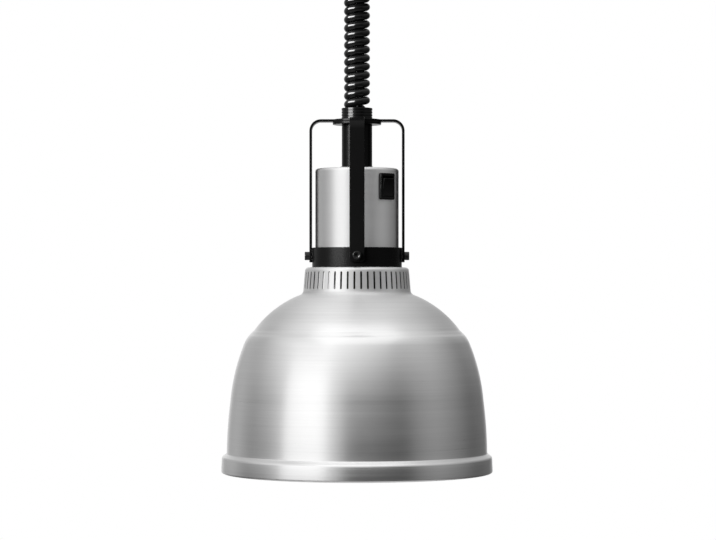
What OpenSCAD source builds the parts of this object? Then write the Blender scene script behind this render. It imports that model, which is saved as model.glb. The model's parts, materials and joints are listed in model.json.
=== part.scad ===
// Rise-and-fall food heat lamp: a spun aluminium shade and housing under a grab frame of flat bar,
// hung from a ceiling unit on a steel wire that runs down the middle of a curly cord.
// Millimetres, +Z up. The origin is the middle of the ceiling face, so the lamp hangs below z = 0.
// Heights called h are measured up from the lower edge of the shade's rim.

/* [Shade] */
// Outside diameter of the rim
rim_d = 275; // [250:1:300]
// How far the rim band stands out from the bowl's wall
rim_step = 4.9; // [3.5:0.1:8]
// Height of the rim band up to its slanted ledge
rim_band_h = 16.2; // [12:0.1:22]
// Height of the slanted ledge between the rim band and the bowl
rim_ledge_h = 3.6; // [2.5:0.1:5]
// How much the rim band opens out towards its lower edge
rim_flare = 0.6; // [0.2:0.1:1.5]
// Outside radius of the rolled lower edge
hem_r = 2.2; // [1.8:0.1:3]
// Angle that the lower edge is rolled through
hem_turn = 200; // [120:5:220]
// Height of the shade's flat top
shade_h = 208; // [190:0.5:230]
// Width of the flat top around the housing
neck_ledge = 10.1; // [8:0.1:14]
// Height of the vent neck
neck_h = 26.7; // [24:0.1:32]
// How much the vent neck widens towards its foot
neck_flare = 2.3; // [1:0.1:4]
// Depth of the crease below the neck's foot
crease_drop = 36.4; // [30:0.1:42]
// How wide and deep the crease is
crease_w = 0.6; // [0.3:0.1:1]
// Depth of the shoulder's foot below the crease
shoulder_drop = 14.4; // [10:0.1:18]
// How much wider the shoulder's foot is than the crease, on each side
shoulder_out = 10.7; // [8:0.1:14]
// Depth of the bowl's middle below the shoulder's foot
bowl_drop = 57.5; // [45:0.5:70]
// How much wider the bowl's middle is than the shoulder's foot, on each side
bowl_out = 13.9; // [10:0.1:18]
// How far the bowl's middle lies inside the rim
bowl_in = 9.2; // [8:0.1:14]
// Height of the collar that stands up inside the housing
collar_h = 18; // [16:0.5:22]
// Sheet thickness of the shade
shade_t = 1.2; // [0.8:0.1:1.6]
// Radius of the rounded top edge of the neck
neck_edge_r = 3.5; // [2:0.1:5]
// Radius of the hollow at the foot of the neck
neck_hollow_r = 5; // [3:0.1:7]
// First stretch of the dome beside the neck, outwards and upwards
dome_run = [3, -1.1]; // [-5:0.1:5]
// Radius of the small bends at the collar and the rim
bend_r = 1.4; // [1:0.1:1.8]
// Arc radius of the dome
dome_arc_r = 106; // [80:1:160]
// Arc radius of the shoulder
shoulder_arc_r = 30; // [20:1:60]
// Arc radius of the bowl below the shoulder
bowl_arc_r = 200; // [120:5:400]
// Arc radius of the bowl above the rim
skirt_arc_r = 480; // [300:10:900]
// Number of vent slots around the neck
slot_count = 50; // [40:2:60]
// Width of a vent slot
slot_w = 1.9; // [1.4:0.1:2.4]
// Height of a vent slot
slot_h = 17.8; // [12:0.1:19]
// Depth of the slots' middle below the flat top
slot_drop = 13.2; // [12:0.1:14]
// Angle of the first slot, from +X towards +Y
slot_turn = 0.8; // [0:0.1:7.2]

/* [Housing] */
// Outside diameter of the housing cup
housing_d = 84.6; // [80:0.2:88]
// Height of the cup above the band
housing_h = 80.1; // [74:0.1:90]
// Sheet thickness of the cup
housing_t = 1.2; // [0.8:0.1:1.6]
// Radius of the cup's rounded top edge
housing_edge_r = 4.5; // [3:0.1:6]
// Bevel of the band's edges
band_chamfer = 0.4; // [0.2:0.1:0.8]
// Outside diameter of the black band
band_d = 91; // [89:0.2:93]
// Height of the band
band_h = 20; // [18:0.5:24]

/* [Frame] */
// Width of the flat bar
bar_w = 15; // [12:0.5:18]
// Thickness of the flat bar
bar_t = 2.6; // [2:0.1:3]
// Outside bend radius of the bar
bar_bend_r = 11.6; // [8:0.1:14]
// Length of bar below the screw's middle
bar_tail = 6.5; // [5.5:0.1:8]
// Corner radius of the bar's ends
bar_end_r = 3; // [1:0.5:5]
// Diameter of the frame's round middle and of the disc below it
hub_d = 49.2; // [44:0.2:56]
// Thickness of the disc below the frame
hub_disc_t = 2.6; // [2:0.1:4]
// Height of the frame screws above the shade's flat top
screw_up = 11.6; // [9:0.1:14]
// Thread diameter of the frame screws
screw_d = 5; // [4:0.5:6]
// Head diameter of the frame screws
screw_head_d = 8.5; // [8:0.1:10]
// Head height of the frame screws
screw_head_h = 4.8; // [4:0.1:5.5]
// Hexagon size across flats in the screw heads
screw_hex = 4; // [3:0.5:5]
// Length of the frame screws below the head
screw_len = 16; // [16:0.5:20]
// Nut size across flats
nut_flats = 8; // [7:0.5:10]
// Nut thickness
nut_t = 4; // [3:0.5:5]

/* [Neck tube] */
// Length of the neck tube between the housing and the disc below the frame
tube_len = 44.6; // [38:0.1:52]
// Wall of the tube's threaded ends
spigot_wall = 2.6; // [2:0.1:3]
// How far the tube stands out from its threaded ends
tube_out = 2.4; // [1.5:0.1:4]
// How far the foot flange stands out from the tube
foot_out = 1.6; // [1:0.1:4]
// Thickness of the foot flange
foot_t = 2; // [1.5:0.1:3]
// Length of the threaded end inside the housing
spigot_len = 11; // [9:0.5:14]
// Height of the collar nut at the top
collar_nut_h = 11.6; // [10:0.1:14]
// Wall around the coil's end in the collar nut and in the gland
recess_wall = 1.8; // [1.4:0.1:2]
// Gap around the coil's end in the collar nut and in the gland
recess_gap = 0.6; // [0.3:0.1:1]
// Number of grip grooves around the nut and the gland
groove_count = 3; // [2:1:4]
// Width of a grip groove
groove_w = 1; // [0.6:0.1:1.4]
// Depth of a grip groove
groove_depth = 0.5; // [0.3:0.1:0.8]
// Lock nut size across flats
tube_nut_flats = 34; // [32:1:40]
// Lock nut thickness
tube_nut_t = 5; // [4:0.5:6]
// Thickness of the rubber bush under the cord
bush_t = 4; // [3:0.5:5]
// Thickness of the wire's anchor plate
anchor_t = 2; // [1.5:0.1:3]

/* [Cord] */
// Diameter of the cord
cord_d = 8.2; // [7.8:0.1:8.6]
// Outside diameter of the cord's coil
coil_od = 26.6; // [26:0.1:27]
// Gap between the coil's turns at rest
coil_gap = 0.4; // [0.2:0.1:0.8]
// Number of turns between the two ends
coil_turns = 13; // [11:1:20]
// How deep the coil sits in the collar nut and in the gland
cord_recess = 2.5; // [1.5:0.5:3]
// Diameter of the lifting wire
wire_d = 2; // [1.5:0.1:2.2]
// Outside diameter of the wire's crimped end
ferrule_d = 4; // [3.4:0.1:4.1]
// Length of the wire's crimped end
ferrule_len = 8; // [6:0.5:10]
// How far the cord goes on below the crimped end
lead_on = 3; // [2:0.5:6]

/* [Ceiling unit] */
// Outside diameter of the canopy
canopy_d = 112; // [108:1:130]
// Sheet thickness of the canopy
canopy_t = 1.2; // [1:0.1:1.6]
// Radius of the canopy's lower edge
canopy_edge_r = 9; // [4:0.5:14]
// Thickness of the ceiling plate
plate_t = 2; // [1.5:0.1:3]
// Circle of the ceiling screw holes
ceiling_pcd = 84; // [80:1:88]
// Number of ceiling screw holes
ceiling_holes = 4; // [2:2:4]
// Diameter of the ceiling screw holes
ceiling_hole_d = 5; // [4:0.5:6]
// Diameter of the supply cable's entry
entry_d = 12; // [10:0.5:14]
// Place of the supply cable's entry in the plate
entry_at = [-14, -34]; // [-40:1:40]
// Width of the tabs that take the canopy's screws
tab_w = 12; // [10:0.5:14]
// Length of those tabs
tab_len = 14; // [12:0.5:18]
// Depth of the canopy's screws below the ceiling
tab_screw_z = 9; // [8:0.5:10]
// Thread diameter of the canopy's screws
small_screw_d = 4; // [3:0.5:4]
// Head diameter of the canopy's screws
small_head_d = 7.6; // [6:0.1:8]
// Head height of the canopy's screws
small_head_h = 2.2; // [1.8:0.1:3]
// Hexagon size across flats in the canopy's screws
small_hex = 2.5; // [2:0.5:3]
// Length of the canopy's screws below the head
small_screw_len = 8; // [6:0.5:12]
// Low corner of the terminal block, as seen from below
block_low = [-42, -15, -15]; // [-44:0.5:-10]
// Length and width of the terminal block
block_size = [18, 30]; // [14:1:32]
// Distance between the block's poles
pole_pitch = 10; // [8:0.5:10]
// Bore for a conductor in the block
pole_bore_d = 3.2; // [2.6:0.1:4]
// Thread diameter of the block's screws
pole_screw_d = 2.6; // [2:0.1:3]
// Place of the block's poles inwards from its ends
pole_in = 2.6; // [2:0.1:4]
// Height of the conductors' bores above the block's lower face
pole_up = 4.5; // [3.5:0.1:6]
// Width of the slots in the block's screws
pole_slot_w = 0.8; // [0.5:0.1:1]
// Height of the cord gland below the canopy
gland_h = 10; // [8:0.5:14]
// Wall of the gland's threaded neck
gland_neck_wall = 1.6; // [1.2:0.1:2]
// Gland nut size across flats
gland_nut_flats = 30; // [29:1:34]
// Gland nut thickness
gland_nut_t = 4; // [3:0.5:5]
// Length of thread above the gland nut
gland_thread_on = 1.5; // [1:0.5:4]

/* [Spring reel] */
// Radius at which the wire runs on the drum
reel_r = 16; // [14:0.5:18]
// Outside diameter of the drum's flanges
reel_flange_d = 44; // [42:1:46]
// Thickness of a flange
reel_flange_t = 2; // [1.5:0.1:3]
// Width of the wire's winding space
winding_w = 10; // [9:0.5:12]
// Inner width of the spring chamber
spring_w = 9; // [8:0.5:11]
// Wall of the spring chamber
chamber_wall = 2; // [1.5:0.1:3]
// Diameter of the axle
axle_d = 6; // [5:0.5:8]
// How far the axle goes on beyond each clip
axle_on = 1.5; // [1:0.1:3]
// Gap between the drum and the frame above it
drum_above_gap = 2.5; // [1:0.1:4]
// Gap between the drum and the gland below it
drum_below_gap = 7.3; // [4:0.1:12]
// Gap between the drum and each cheek of the frame
cheek_gap = 1; // [0.5:0.1:2]
// Turns of wire wound on the drum
wound_turns = 3; // [2:1:3]
// Sheet thickness of the reel frame
reel_frame_t = 1.5; // [1.2:0.1:2]
// Width of the reel frame's cheeks
cheek_w = 24; // [20:1:28]
// Length of cheek below the axle
cheek_tail = 10; // [8:0.5:12]
// Thickness of the spring strip
strip_t = 0.5; // [0.3:0.1:0.6]
// Turns of the spring strip
strip_turns = 5; // [4:1:6]
// Thickness of the axle's clips
clip_t = 1; // [0.8:0.1:1.5]
// How far a clip stands out from the axle
clip_out = 2; // [1:0.1:3]
// Mouth of a clip
clip_mouth = 3.6; // [3:0.1:4.5]
// Depth of the clips' grooves in the axle
clip_groove = 0.5; // [0.3:0.1:0.8]
// Diameter of the rivets that hold the reel frame
rivet_d = 3.2; // [2.6:0.1:4]
// Diameter of a rivet's head
rivet_head_d = 5.4; // [5:0.1:7]
// Height of a rivet's head
rivet_head_t = 1.2; // [0.8:0.1:1.6]
// Distance of the rivets from the reel frame's edges
rivet_in = 5; // [4.5:0.1:7]

/* [Switch] */
// Angle of the switch around the housing, from +X towards +Y
switch_angle = -45; // [-60:1:-30]
// Depth of the switch's middle below the housing's top
switch_drop = 19.1; // [18.5:0.1:28]
// How far the bezel stands out beside the case
bezel_side = 1.2; // [0.8:0.1:2]
// How far the bezel stands out above and below the case
bezel_end = 1.4; // [0.8:0.1:2.5]
// How far the bezel's face stands out from the housing
bezel_t = 1.7; // [1.2:0.1:2.5]
// Width of the rocker
rocker_w = 14.4; // [12:0.1:15]
// Height of the rocker
rocker_h = 20; // [18:0.1:22]
// How far the rocker stands out from the bezel
rocker_proud = 0.3; // [0:0.1:1]
// Wall of the case beside the rocker
case_wall = 1.05; // [0.8:0.05:1.5]
// Wall of the case above and below the rocker
case_end_wall = 1.55; // [1:0.05:2]
// Depth of the case behind the housing wall
case_depth = 18; // [16:0.5:20]
// Distance of the wires' ends from the middle, on the switch's tabs
wire_on_tab = 16.6; // [16.4:0.1:20]
// Distance from the middle at which a wire passes the lower tab
wire_past_tab = 13; // [11:0.1:13.5]
// Angle that the rocker turns through
rocker_angle = 16; // [12:1:18]
// Diameter of the rocker's pivot stubs
pivot_d = 2.4; // [2:0.1:3]
// Length of a pivot stub
pivot_len = 1; // [0.6:0.1:1]
// Width of a switch tab
tab_terminal_w = 6.3; // [4.8:0.1:6.3]
// Length of a switch tab
tab_terminal_len = 8; // [6:0.5:9]
// Thickness of a switch tab
tab_terminal_t = 0.8; // [0.6:0.1:1]
// Corner radius of the bezel
bezel_corner_r = 1.4; // [0.6:0.1:2.5]
// How far the pivot lies inside the housing's wall
pivot_depth = 5; // [4:0.5:6]
// Depth of the rocker's well behind the pivot
well_depth = 6; // [5:0.5:8]

/* [Lamp holder and bulb] */
// Width of the holder bridge
bridge_w = 16; // [14:0.5:20]
// Thickness of the bridge
bridge_t = 1.5; // [1.2:0.1:2]
// Length of the holder's two screws below the bridge's top
bridge_screw_len = 10; // [8:0.5:16]
// Length of the earth screw below the bridge's top
earth_screw_len = 6; // [4:0.5:8]
// Width and depth of the slots in the bridge's screws
driver_slot = 1; // [0.8:0.1:1.2]
// Distance of the holder's two screws from the middle
bridge_screw_x = 14; // [12:0.5:16]
// Distance of the earth screw from the middle
earth_x = 27; // [26:0.5:28]
// Thread diameter of the screws in the bridge
bridge_screw_d = 4; // [3:0.5:4]
// Head diameter of the screws in the bridge
bridge_head_d = 7.6; // [6:0.1:8]
// Head height of the screws in the bridge
bridge_head_h = 2.6; // [2:0.1:3]
// Diameter of the porcelain holder
holder_d = 46; // [42:1:50]
// Height of the porcelain above the socket
holder_head = 21; // [18:0.5:24]
// Bevel of the holder's lower edge
holder_bevel = 1; // [0.5:0.1:2]
// How much thinner the holder is above its step
holder_step = 3; // [1:0.5:4]
// Distance of the holder's terminals from the middle
terminal_y = 13; // [12:0.5:15]
// Side and height of a holder terminal
terminal_size = 6; // [5:0.5:7]
// Diameter of the wires' sleeves
sleeve_d = 2.4; // [2:0.1:2.6]
// Wall of the thread shell
shell_t = 0.5; // [0.4:0.1:0.6]
// How far the thread shell ends above the holder's lower face
shell_back = 1; // [0.5:0.1:3]
// Gap between the bulb's cap and the thread shell
cap_gap = 0.4; // [0.2:0.1:0.8]
// Height of the centre contact
contact_h = 2; // [1.5:0.1:3]
// Diameter of the centre contact
contact_d = 5; // [4:0.5:8]
// Diameter and thickness of the plate above the contact
contact_plate = [12, 0.8]; // [0.5:0.1:16]
// Diameter of the bulb's screw cap
cap_d = 26.2; // [25.8:0.1:26.4]
// Length of the bulb's screw cap
cap_len = 27; // [25:0.5:28]
// How far the cap shows below the holder
cap_show = 1; // [0.5:0.5:3]
// Sheet thickness of the cap
cap_t = 0.5; // [0.3:0.1:0.8]
// Length of the cap's plain foot below its thread
cap_skirt = 3; // [2:0.5:5]
// Height of the cap's edge above the end of the bulb's shoulder
cap_edge = 1; // [0.5:0.1:2]
// Number of turns of the cap's thread
thread_turns = 4; // [3:1:5]
// Rise of one turn of the cap's thread
thread_pitch = 3.6; // [3.2:0.1:3.8]
// Depth of the cap's thread
thread_depth = 0.4; // [0.3:0.1:0.6]
// Diameter of the cap's tip
tip_d = 9.2; // [8:0.2:10]
// Thickness of the cap's tip
tip_t = 2; // [1:0.1:3]
// Distance from the bulb's face to the end of its stem
stem_from_face = 105; // [90:1:115]
// Diameter of the stem
stem_d = 7; // [5:0.5:9]
// Thickness of the stem's foot in the glass neck
stem_foot_t = 2; // [1.5:0.1:4]
// Distance of the stem's foot from the end of the glass neck
stem_foot_in = 1; // [0.5:0.1:3]
// Radius of the filament's half ring
filament_ring_r = 20; // [14:1:26]
// Diameter of the filament's coil
filament_d = 2.4; // [1.6:0.1:3]
// Diameter of the filament's two leads
filament_lead_d = 1.2; // [0.8:0.1:1.6]
// Distance of the filament below the stem
filament_drop = 22; // [14:1:28]
// Diameter of the bulb
bulb_d = 125; // [95:1:130]
// Length of the bulb from its face to the tip of its cap
bulb_len = 182; // [172:1:190]
// How far the glass neck goes up into the cap
glass_in_cap = 13; // [8:0.5:16]
// Glass thickness
glass_t = 1.2; // [0.8:0.1:1.6]

/* [Clearances] */
// Gap between pieces that slide into each other
slip_fit = 0.1; // [0.05:0.05:0.15]
// Gap around a screw or a bolt in its hole
hole_fit = 0.25; // [0.15:0.05:0.3]
// Radial running gap of an axle or a pivot
running_fit = 0.05; // [0.03:0.01:0.08]
// Gap around a moving piece in its opening
moving_gap = 0.35; // [0.3:0.05:0.4]
// How far a cutter runs past the face that it cuts
past = 1; // [0.5:0.5:2]

/* [Hidden] */
$fn = 96;

// Derived sizes of the neck's parts, from the wire and the cord in its bore outwards
lead_off = (ferrule_d + cord_d) / 2 + slip_fit;
bore_r = lead_off + cord_d / 2 + slip_fit;
spigot_r = bore_r + spigot_wall;
thread_r = spigot_r + slip_fit;
tube_r = spigot_r + tube_out;
coil_r = coil_od / 2;
recess_r = coil_r + recess_gap;
nut_r = recess_r + recess_wall;

// Derived radii of the lamp
rim_r = rim_d / 2;
wall_r = rim_r - rim_flare - rim_step;
bowl_r = rim_r - bowl_in;
shoulder_r = bowl_r - bowl_out;
crease_r = shoulder_r - shoulder_out;
housing_r = housing_d / 2;
housing_in_r = housing_r - housing_t;
neck_top_r = housing_r + neck_ledge;
neck_foot_r = neck_top_r + neck_flare;
collar_r = housing_in_r - slip_fit;
collar_in_r = collar_r - shade_t;
band_r = band_d / 2;
band_in_r = housing_r + slip_fit;
bar_in_r = band_r + slip_fit;
bar_out_r = bar_in_r + bar_t;

// Derived heights of the lamp, from the shade upwards
neck_foot_h = shade_h - neck_h;
crease_h = neck_foot_h - crease_drop;
shoulder_h = crease_h - shoulder_drop;
bowl_h = shoulder_h - bowl_drop;
slot_mid_h = shade_h - slot_drop;
screw_h = shade_h + screw_up;
housing_foot_h = shade_h + bend_r + 2 * slip_fit;
housing_top_h = shade_h + band_h + housing_h;
tube_top_h = housing_top_h + tube_len;
frame_low_h = tube_top_h + hub_disc_t;
frame_top_h = frame_low_h + bar_t;
nut_top_h = frame_top_h + collar_nut_h;
cord_low_h = nut_top_h - cord_recess;
bush_low_h = cord_low_h - bush_t;
spigot_low_h = housing_top_h - spigot_len;
ferrule_top_h = spigot_low_h - anchor_t;
ferrule_low_h = ferrule_top_h - ferrule_len;
lead_low_h = ferrule_low_h - lead_on;

// Derived sizes of the lamp holder and the bulb, from the bridge downwards
bridge_under_h = shade_h + collar_h;
bridge_top_h = bridge_under_h + bridge_t;
bridge_tab_r = sqrt(pow(collar_in_r, 2) - pow(bridge_w / 2, 2)) - running_fit;
nut_on_tab_r = bridge_tab_r - bridge_t;
nut_on_collar_r = sqrt(pow(collar_in_r, 2) - pow(nut_flats / 2, 2)) - running_fit;
terminal_top_h = bridge_under_h + terminal_size;
socket_top_h = bridge_under_h - holder_head;
cap_top_h = socket_top_h - contact_h;
cap_low_h = cap_top_h - cap_len;
holder_low_h = cap_low_h + cap_show;
cap_r = cap_d / 2;
shell_in_r = cap_r + cap_gap;
shell_r = shell_in_r + shell_t;
neck_in_cap_r = cap_r - thread_depth - cap_t;
bulb_r = bulb_d / 2;
bulb_face_h = cap_top_h - bulb_len;
stem_low_h = bulb_face_h + stem_from_face;

// Derived sizes of the switch, from the rocker outwards
well_w = rocker_w + 2 * moving_gap;
well_h = rocker_h + 2 * moving_gap;
case_w = well_w + 2 * case_wall;
case_h = well_h + 2 * case_end_wall;
bezel_w = case_w + 2 * bezel_side;
bezel_h = case_h + 2 * bezel_end;
switch_h = housing_top_h - switch_drop;
rest_tilt = rocker_angle / 2;
pivot_x = housing_r - pivot_depth;
face_x = housing_r + bezel_t;
case_back_r = housing_in_r - case_depth;
tab_offset = case_h / 4;

// Derived sizes of the ceiling unit, from the ceiling downwards
tab_angles = [30, 150, 270];
canopy_r = canopy_d / 2;
canopy_in_r = canopy_r - canopy_t;
plate_r = canopy_in_r - moving_gap;
tab_face_r = sqrt(pow(plate_r, 2) - pow(tab_w / 2, 2)) - slip_fit;
gland_neck_r = bore_r + gland_neck_wall;
flange_r = reel_flange_d / 2;
frame_under_z = -plate_t - reel_frame_t;
axle_z = flange_r + drum_above_gap - frame_under_z;
gland_top_z = -axle_z - flange_r - drum_below_gap;
gland_nut_low_z = gland_top_z - gland_thread_on - gland_nut_t;
canopy_h = canopy_t - gland_nut_low_z;
cord_top_z = cord_recess - canopy_h - gland_h;
coil_len = coil_turns * (cord_d + coil_gap) + cord_d;
drop = cord_low_h + coil_len - cord_top_z;

// Derived places along the reel's axle
core_r = reel_r - wire_d / 2 - slip_fit;
chamber_in_r = flange_r - chamber_wall;
wind_low_x = -wire_d / 2 - 2 * moving_gap;
wind_high_x = wind_low_x + winding_w;
chamber_low_x = wind_high_x + reel_flange_t;
chamber_high_x = chamber_low_x + spring_w;
cover_high_x = chamber_high_x + reel_flange_t;
cheek_low_x = wind_low_x - reel_flange_t - cheek_gap;
cheek_high_x = cover_high_x + cheek_gap;
frame_low_x = cheek_low_x - reel_frame_t;
frame_high_x = cheek_high_x + reel_frame_t;
clip_low_x = frame_low_x - slip_fit - clip_t;
clip_high_x = frame_high_x + slip_fit;

// Unit vector
function unit(v) = v / norm(v);
// Vector turned a quarter to the left
function left_of(v) = [-v[1], v[0]];
// The way round the circle from unit radius a to unit radius b, at share s
function turn_between(a, b, s) =
    let (whole = acos(max(-1, min(1, a * b))))
    (a * sin((1 - s) * whole) + b * sin(s * whole)) / sin(whole);
// Points of an arc from a to b with the given radius, bulging to the left of the way
function arc(a, b, radius, steps) =
    let (chord = norm(b - a), r = max(radius, chord * 0.51),
         centre = (a + b) / 2 - left_of(unit(b - a)) * sqrt(r * r - chord * chord / 4))
    [for (i = [0:steps]) centre + r * turn_between((a - centre) / r, (b - centre) / r, i / steps)];
// Points of the rounding at corner b on the way from a to c
function rounding(a, b, c, radius, steps) =
    let (u = unit(a - b), v = unit(c - b), half = acos(max(-1, min(1, u * v))) / 2,
         centre = b + unit(u + v) * radius / sin(half),
         start = b + u * radius / tan(half), end = b + v * radius / tan(half))
    [for (i = [0:steps])
        centre + radius * turn_between((start - centre) / radius, (end - centre) / radius, i / steps)];
// Normal to the left of a line of points at point i
function normal_at(pts, i) =
    let (before = max(i - 1, 0), after = min(i + 1, len(pts) - 1))
    left_of(unit(pts[after] - pts[before]));
// A line of points thickened to its right: the outline of a bent sheet
function sheet(pts, t) =
    concat(pts, [for (i = [len(pts) - 1:-1:0]) pts[i] - normal_at(pts, i) * t]);

// Outer side of the shade from the collar's top down to the hem
collar_top = [collar_r, shade_h + collar_h];
collar_foot = [collar_r, shade_h];
neck_top = [neck_top_r, shade_h];
neck_foot = [neck_foot_r, neck_foot_h];
crease = [crease_r, crease_h];
shoulder = [shoulder_r, shoulder_h];
bowl_middle = [bowl_r, bowl_h];
wall_foot = [wall_r, rim_band_h + rim_ledge_h];
ledge_foot = [rim_r - rim_flare, rim_band_h];
hem_top = [rim_r, hem_r];
crease_gap = [crease_w, -crease_w];
dome_points = arc(neck_foot + dome_run, crease - crease_gap, dome_arc_r, 12);
bowl_points = arc(shoulder, bowl_middle, bowl_arc_r, 8);
skirt_points = arc(bowl_middle, wall_foot, skirt_arc_r, 6);
shade_line = concat(
    [collar_top],
    rounding(collar_top, collar_foot, neck_top, bend_r, 4),
    rounding(collar_foot, neck_top, neck_foot, neck_edge_r, 6),
    rounding(neck_top, neck_foot, dome_points[1], neck_hollow_r, 5),
    [for (i = [1:12]) dome_points[i]],
    arc(crease + crease_gap, shoulder, shoulder_arc_r, 6),
    [for (i = [1:8]) bowl_points[i]],
    [for (i = [1:5]) skirt_points[i]],
    rounding(skirt_points[5], wall_foot, ledge_foot, bend_r, 3),
    rounding(wall_foot, ledge_foot, hem_top, bend_r, 4),
    [for (i = [0:8]) hem_top + hem_r * [cos(i * hem_turn / 8) - 1, -sin(i * hem_turn / 8)]]);

// Round tube swept along a line of points, closed at both ends
function direction_at(pts, i) = unit(pts[min(i + 1, len(pts) - 1)] - pts[max(i - 1, 0)]);
function side_of(d) = abs(d[2]) < 0.9 ? unit(cross(d, [0, 0, 1])) : unit(cross(d, [0, 1, 0]));
// Each ring keeps the side vector of the ring before, so the tube doesn't twist
function sides_along(pts, i = 0, last = undef) =
    i == len(pts) ? [] :
    let (d = direction_at(pts, i),
         s = is_undef(last) ? side_of(d) : unit(last - d * (last * d)))
    concat([s], sides_along(pts, i + 1, s));
function between(a, b, c, d, s) =
    0.5 * (2 * b + (c - a) * s + (2 * a - 5 * b + 4 * c - d) * s * s + (3 * b - a - 3 * c + d) * s * s * s);
// A smooth line through hand-set points, with steps points for each stretch
function smooth_line(pts, steps) =
    let (n = len(pts))
    concat([for (i = [0:n - 2], k = [0:steps - 1])
        between(pts[max(i - 1, 0)], pts[i], pts[i + 1], pts[min(i + 2, n - 1)], k / steps)], [pts[n - 1]]);
module tube_along(pts, diameter, faces) {
    n = len(pts);
    side = sides_along(pts);
    rings = [for (i = [0:n - 1])
        let (s = side[i], t = cross(direction_at(pts, i), s))
        for (k = [0:faces - 1])
            pts[i] + diameter / 2 * (s * cos(k * 360 / faces) + t * sin(k * 360 / faces))];
    walls = [for (i = [0:n - 2], k = [0:faces - 1])
        let (a = i * faces + k, b = i * faces + (k + 1) % faces)
        [a, b, b + faces, a + faces]];
    caps = [[for (k = [faces - 1:-1:0]) k], [for (k = [0:faces - 1]) (n - 1) * faces + k]];
    polyhedron(points = rings, faces = concat(walls, caps));
}

// The way of the cord inside the canopy. The first and last three points of each way lie straight
// above each other, so that its ends are level faces
block_middle = [block_low[0] + block_size[0] / 2, block_low[1] + block_size[1] / 2, block_low[2]];
in_gland = [-lead_off, 0, gland_top_z];
supply_route = [[in_gland[0], 0, cord_top_z], [in_gland[0], 0, (cord_top_z + gland_top_z) / 2], in_gland,
    in_gland + [-2.8, 0, 6.3], in_gland + [-8.8, -1, 11.3], block_middle + [11, -2, -25.5],
    block_middle + [3.5, -2, -18], block_middle - [0, 0, 8], block_middle - [0, 0, 4], block_middle];

// The ways of the wires inside the lamp, from the cord's end and the switch's tabs to the holder
lead_end = [lead_off, 0, lead_low_h];
neutral_end = [0, terminal_y, terminal_top_h];
live_end = [0, -terminal_y, terminal_top_h];
earth_end = [earth_x, 0, bridge_top_h + bridge_head_h];
function at_switch(r, h) = [r * cos(switch_angle), r * sin(switch_angle), h];
tab_under_h = switch_h - tab_terminal_t / 2;
function straight_from(p, rise) = [for (i = [0:2]) p + [0, 0, rise * i / 2]];
function straight_to(p, rise) = [for (i = [-2:0]) p + [0, 0, rise * i / 2]];
neutral_route = concat(straight_from(lead_end + [0, 2.4, 0], -4),
    [lead_end + [0, 6, -20], neutral_end + [3, -1, 16]], straight_to(neutral_end, -6));
earth_route = concat(straight_from(lead_end + [-2.1, -1.3, 0], -4),
    [lead_end + [3, -1.6, -18], earth_end + [-6, -0.5, 18]], straight_to(earth_end, -6));
switch_in_route = concat(straight_from(lead_end + [2.1, -1.3, 0], -4), [lead_end + [4.5, -6.6, -11]],
    straight_to(at_switch(wire_on_tab, tab_under_h - tab_offset), 5));
switch_out_route = concat(straight_from(at_switch(wire_on_tab, tab_under_h + tab_offset), -2),
    [at_switch(wire_past_tab, tab_under_h + tab_offset - 8), lead_end + [-1.7, -12, -12]],
    [live_end + [1, 0, 18]], straight_to(live_end, -6));

// Places a piece in the lamp, whose heights start at the rim
module in_lamp() {
    translate([0, 0, -drop]) children();
}
module round_four() {
    for (a = [0:90:270]) rotate(a) children();
}
// A cylinder that lies along the radius at angle 0, for pins, screws and their holes
module radial(d, from, to, h, faces = 96) {
    translate([from, 0, h]) rotate([0, 90, 0]) cylinder(d = d, h = to - from, $fn = faces);
}
module disc(outer, inner, low, high) {
    translate([0, 0, low]) difference() {
        cylinder(r = outer, h = high - low);
        translate([0, 0, -past]) cylinder(r = inner, h = high - low + 2 * past);
    }
}
module hex_nut(flats, bore_r, low, high) {
    translate([0, 0, low]) difference() {
        cylinder(d = flats / cos(30), h = high - low, $fn = 6);
        translate([0, 0, -past]) cylinder(r = bore_r, h = high - low + 2 * past);
    }
}
// A box given by its two corners
module block(low, high) {
    translate(low) cube(high - low);
}
// Rectangle about the origin with round corners
module rounded_plate(w, h, r) {
    square([w - 2 * r, h], center = true);
    square([w, h - 2 * r], center = true);
    for (x = [-1, 1], y = [-1, 1]) translate([x * (w / 2 - r), y * (h / 2 - r)]) circle(r);
}
// Grip grooves around a nut or a gland, between two heights
module grip_grooves(outer, low, high) {
    for (i = [1:groove_count])
        translate([0, 0, low + (high - low) * i / (groove_count + 1) - groove_w / 2]) difference() {
            cylinder(r = outer + past, h = groove_w);
            translate([0, 0, -past]) cylinder(r = outer - groove_depth, h = groove_w + 2 * past);
        }
}
// The wire's hole in the middle and the cord's beside it
module wire_and_lead_holes(low, t) {
    translate([0, 0, low - past]) {
        cylinder(d = wire_d + 2 * slip_fit, h = t + 2 * past);
        translate([lead_off, 0, 0]) cylinder(d = cord_d + 2 * slip_fit, h = t + 2 * past);
    }
}

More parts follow.
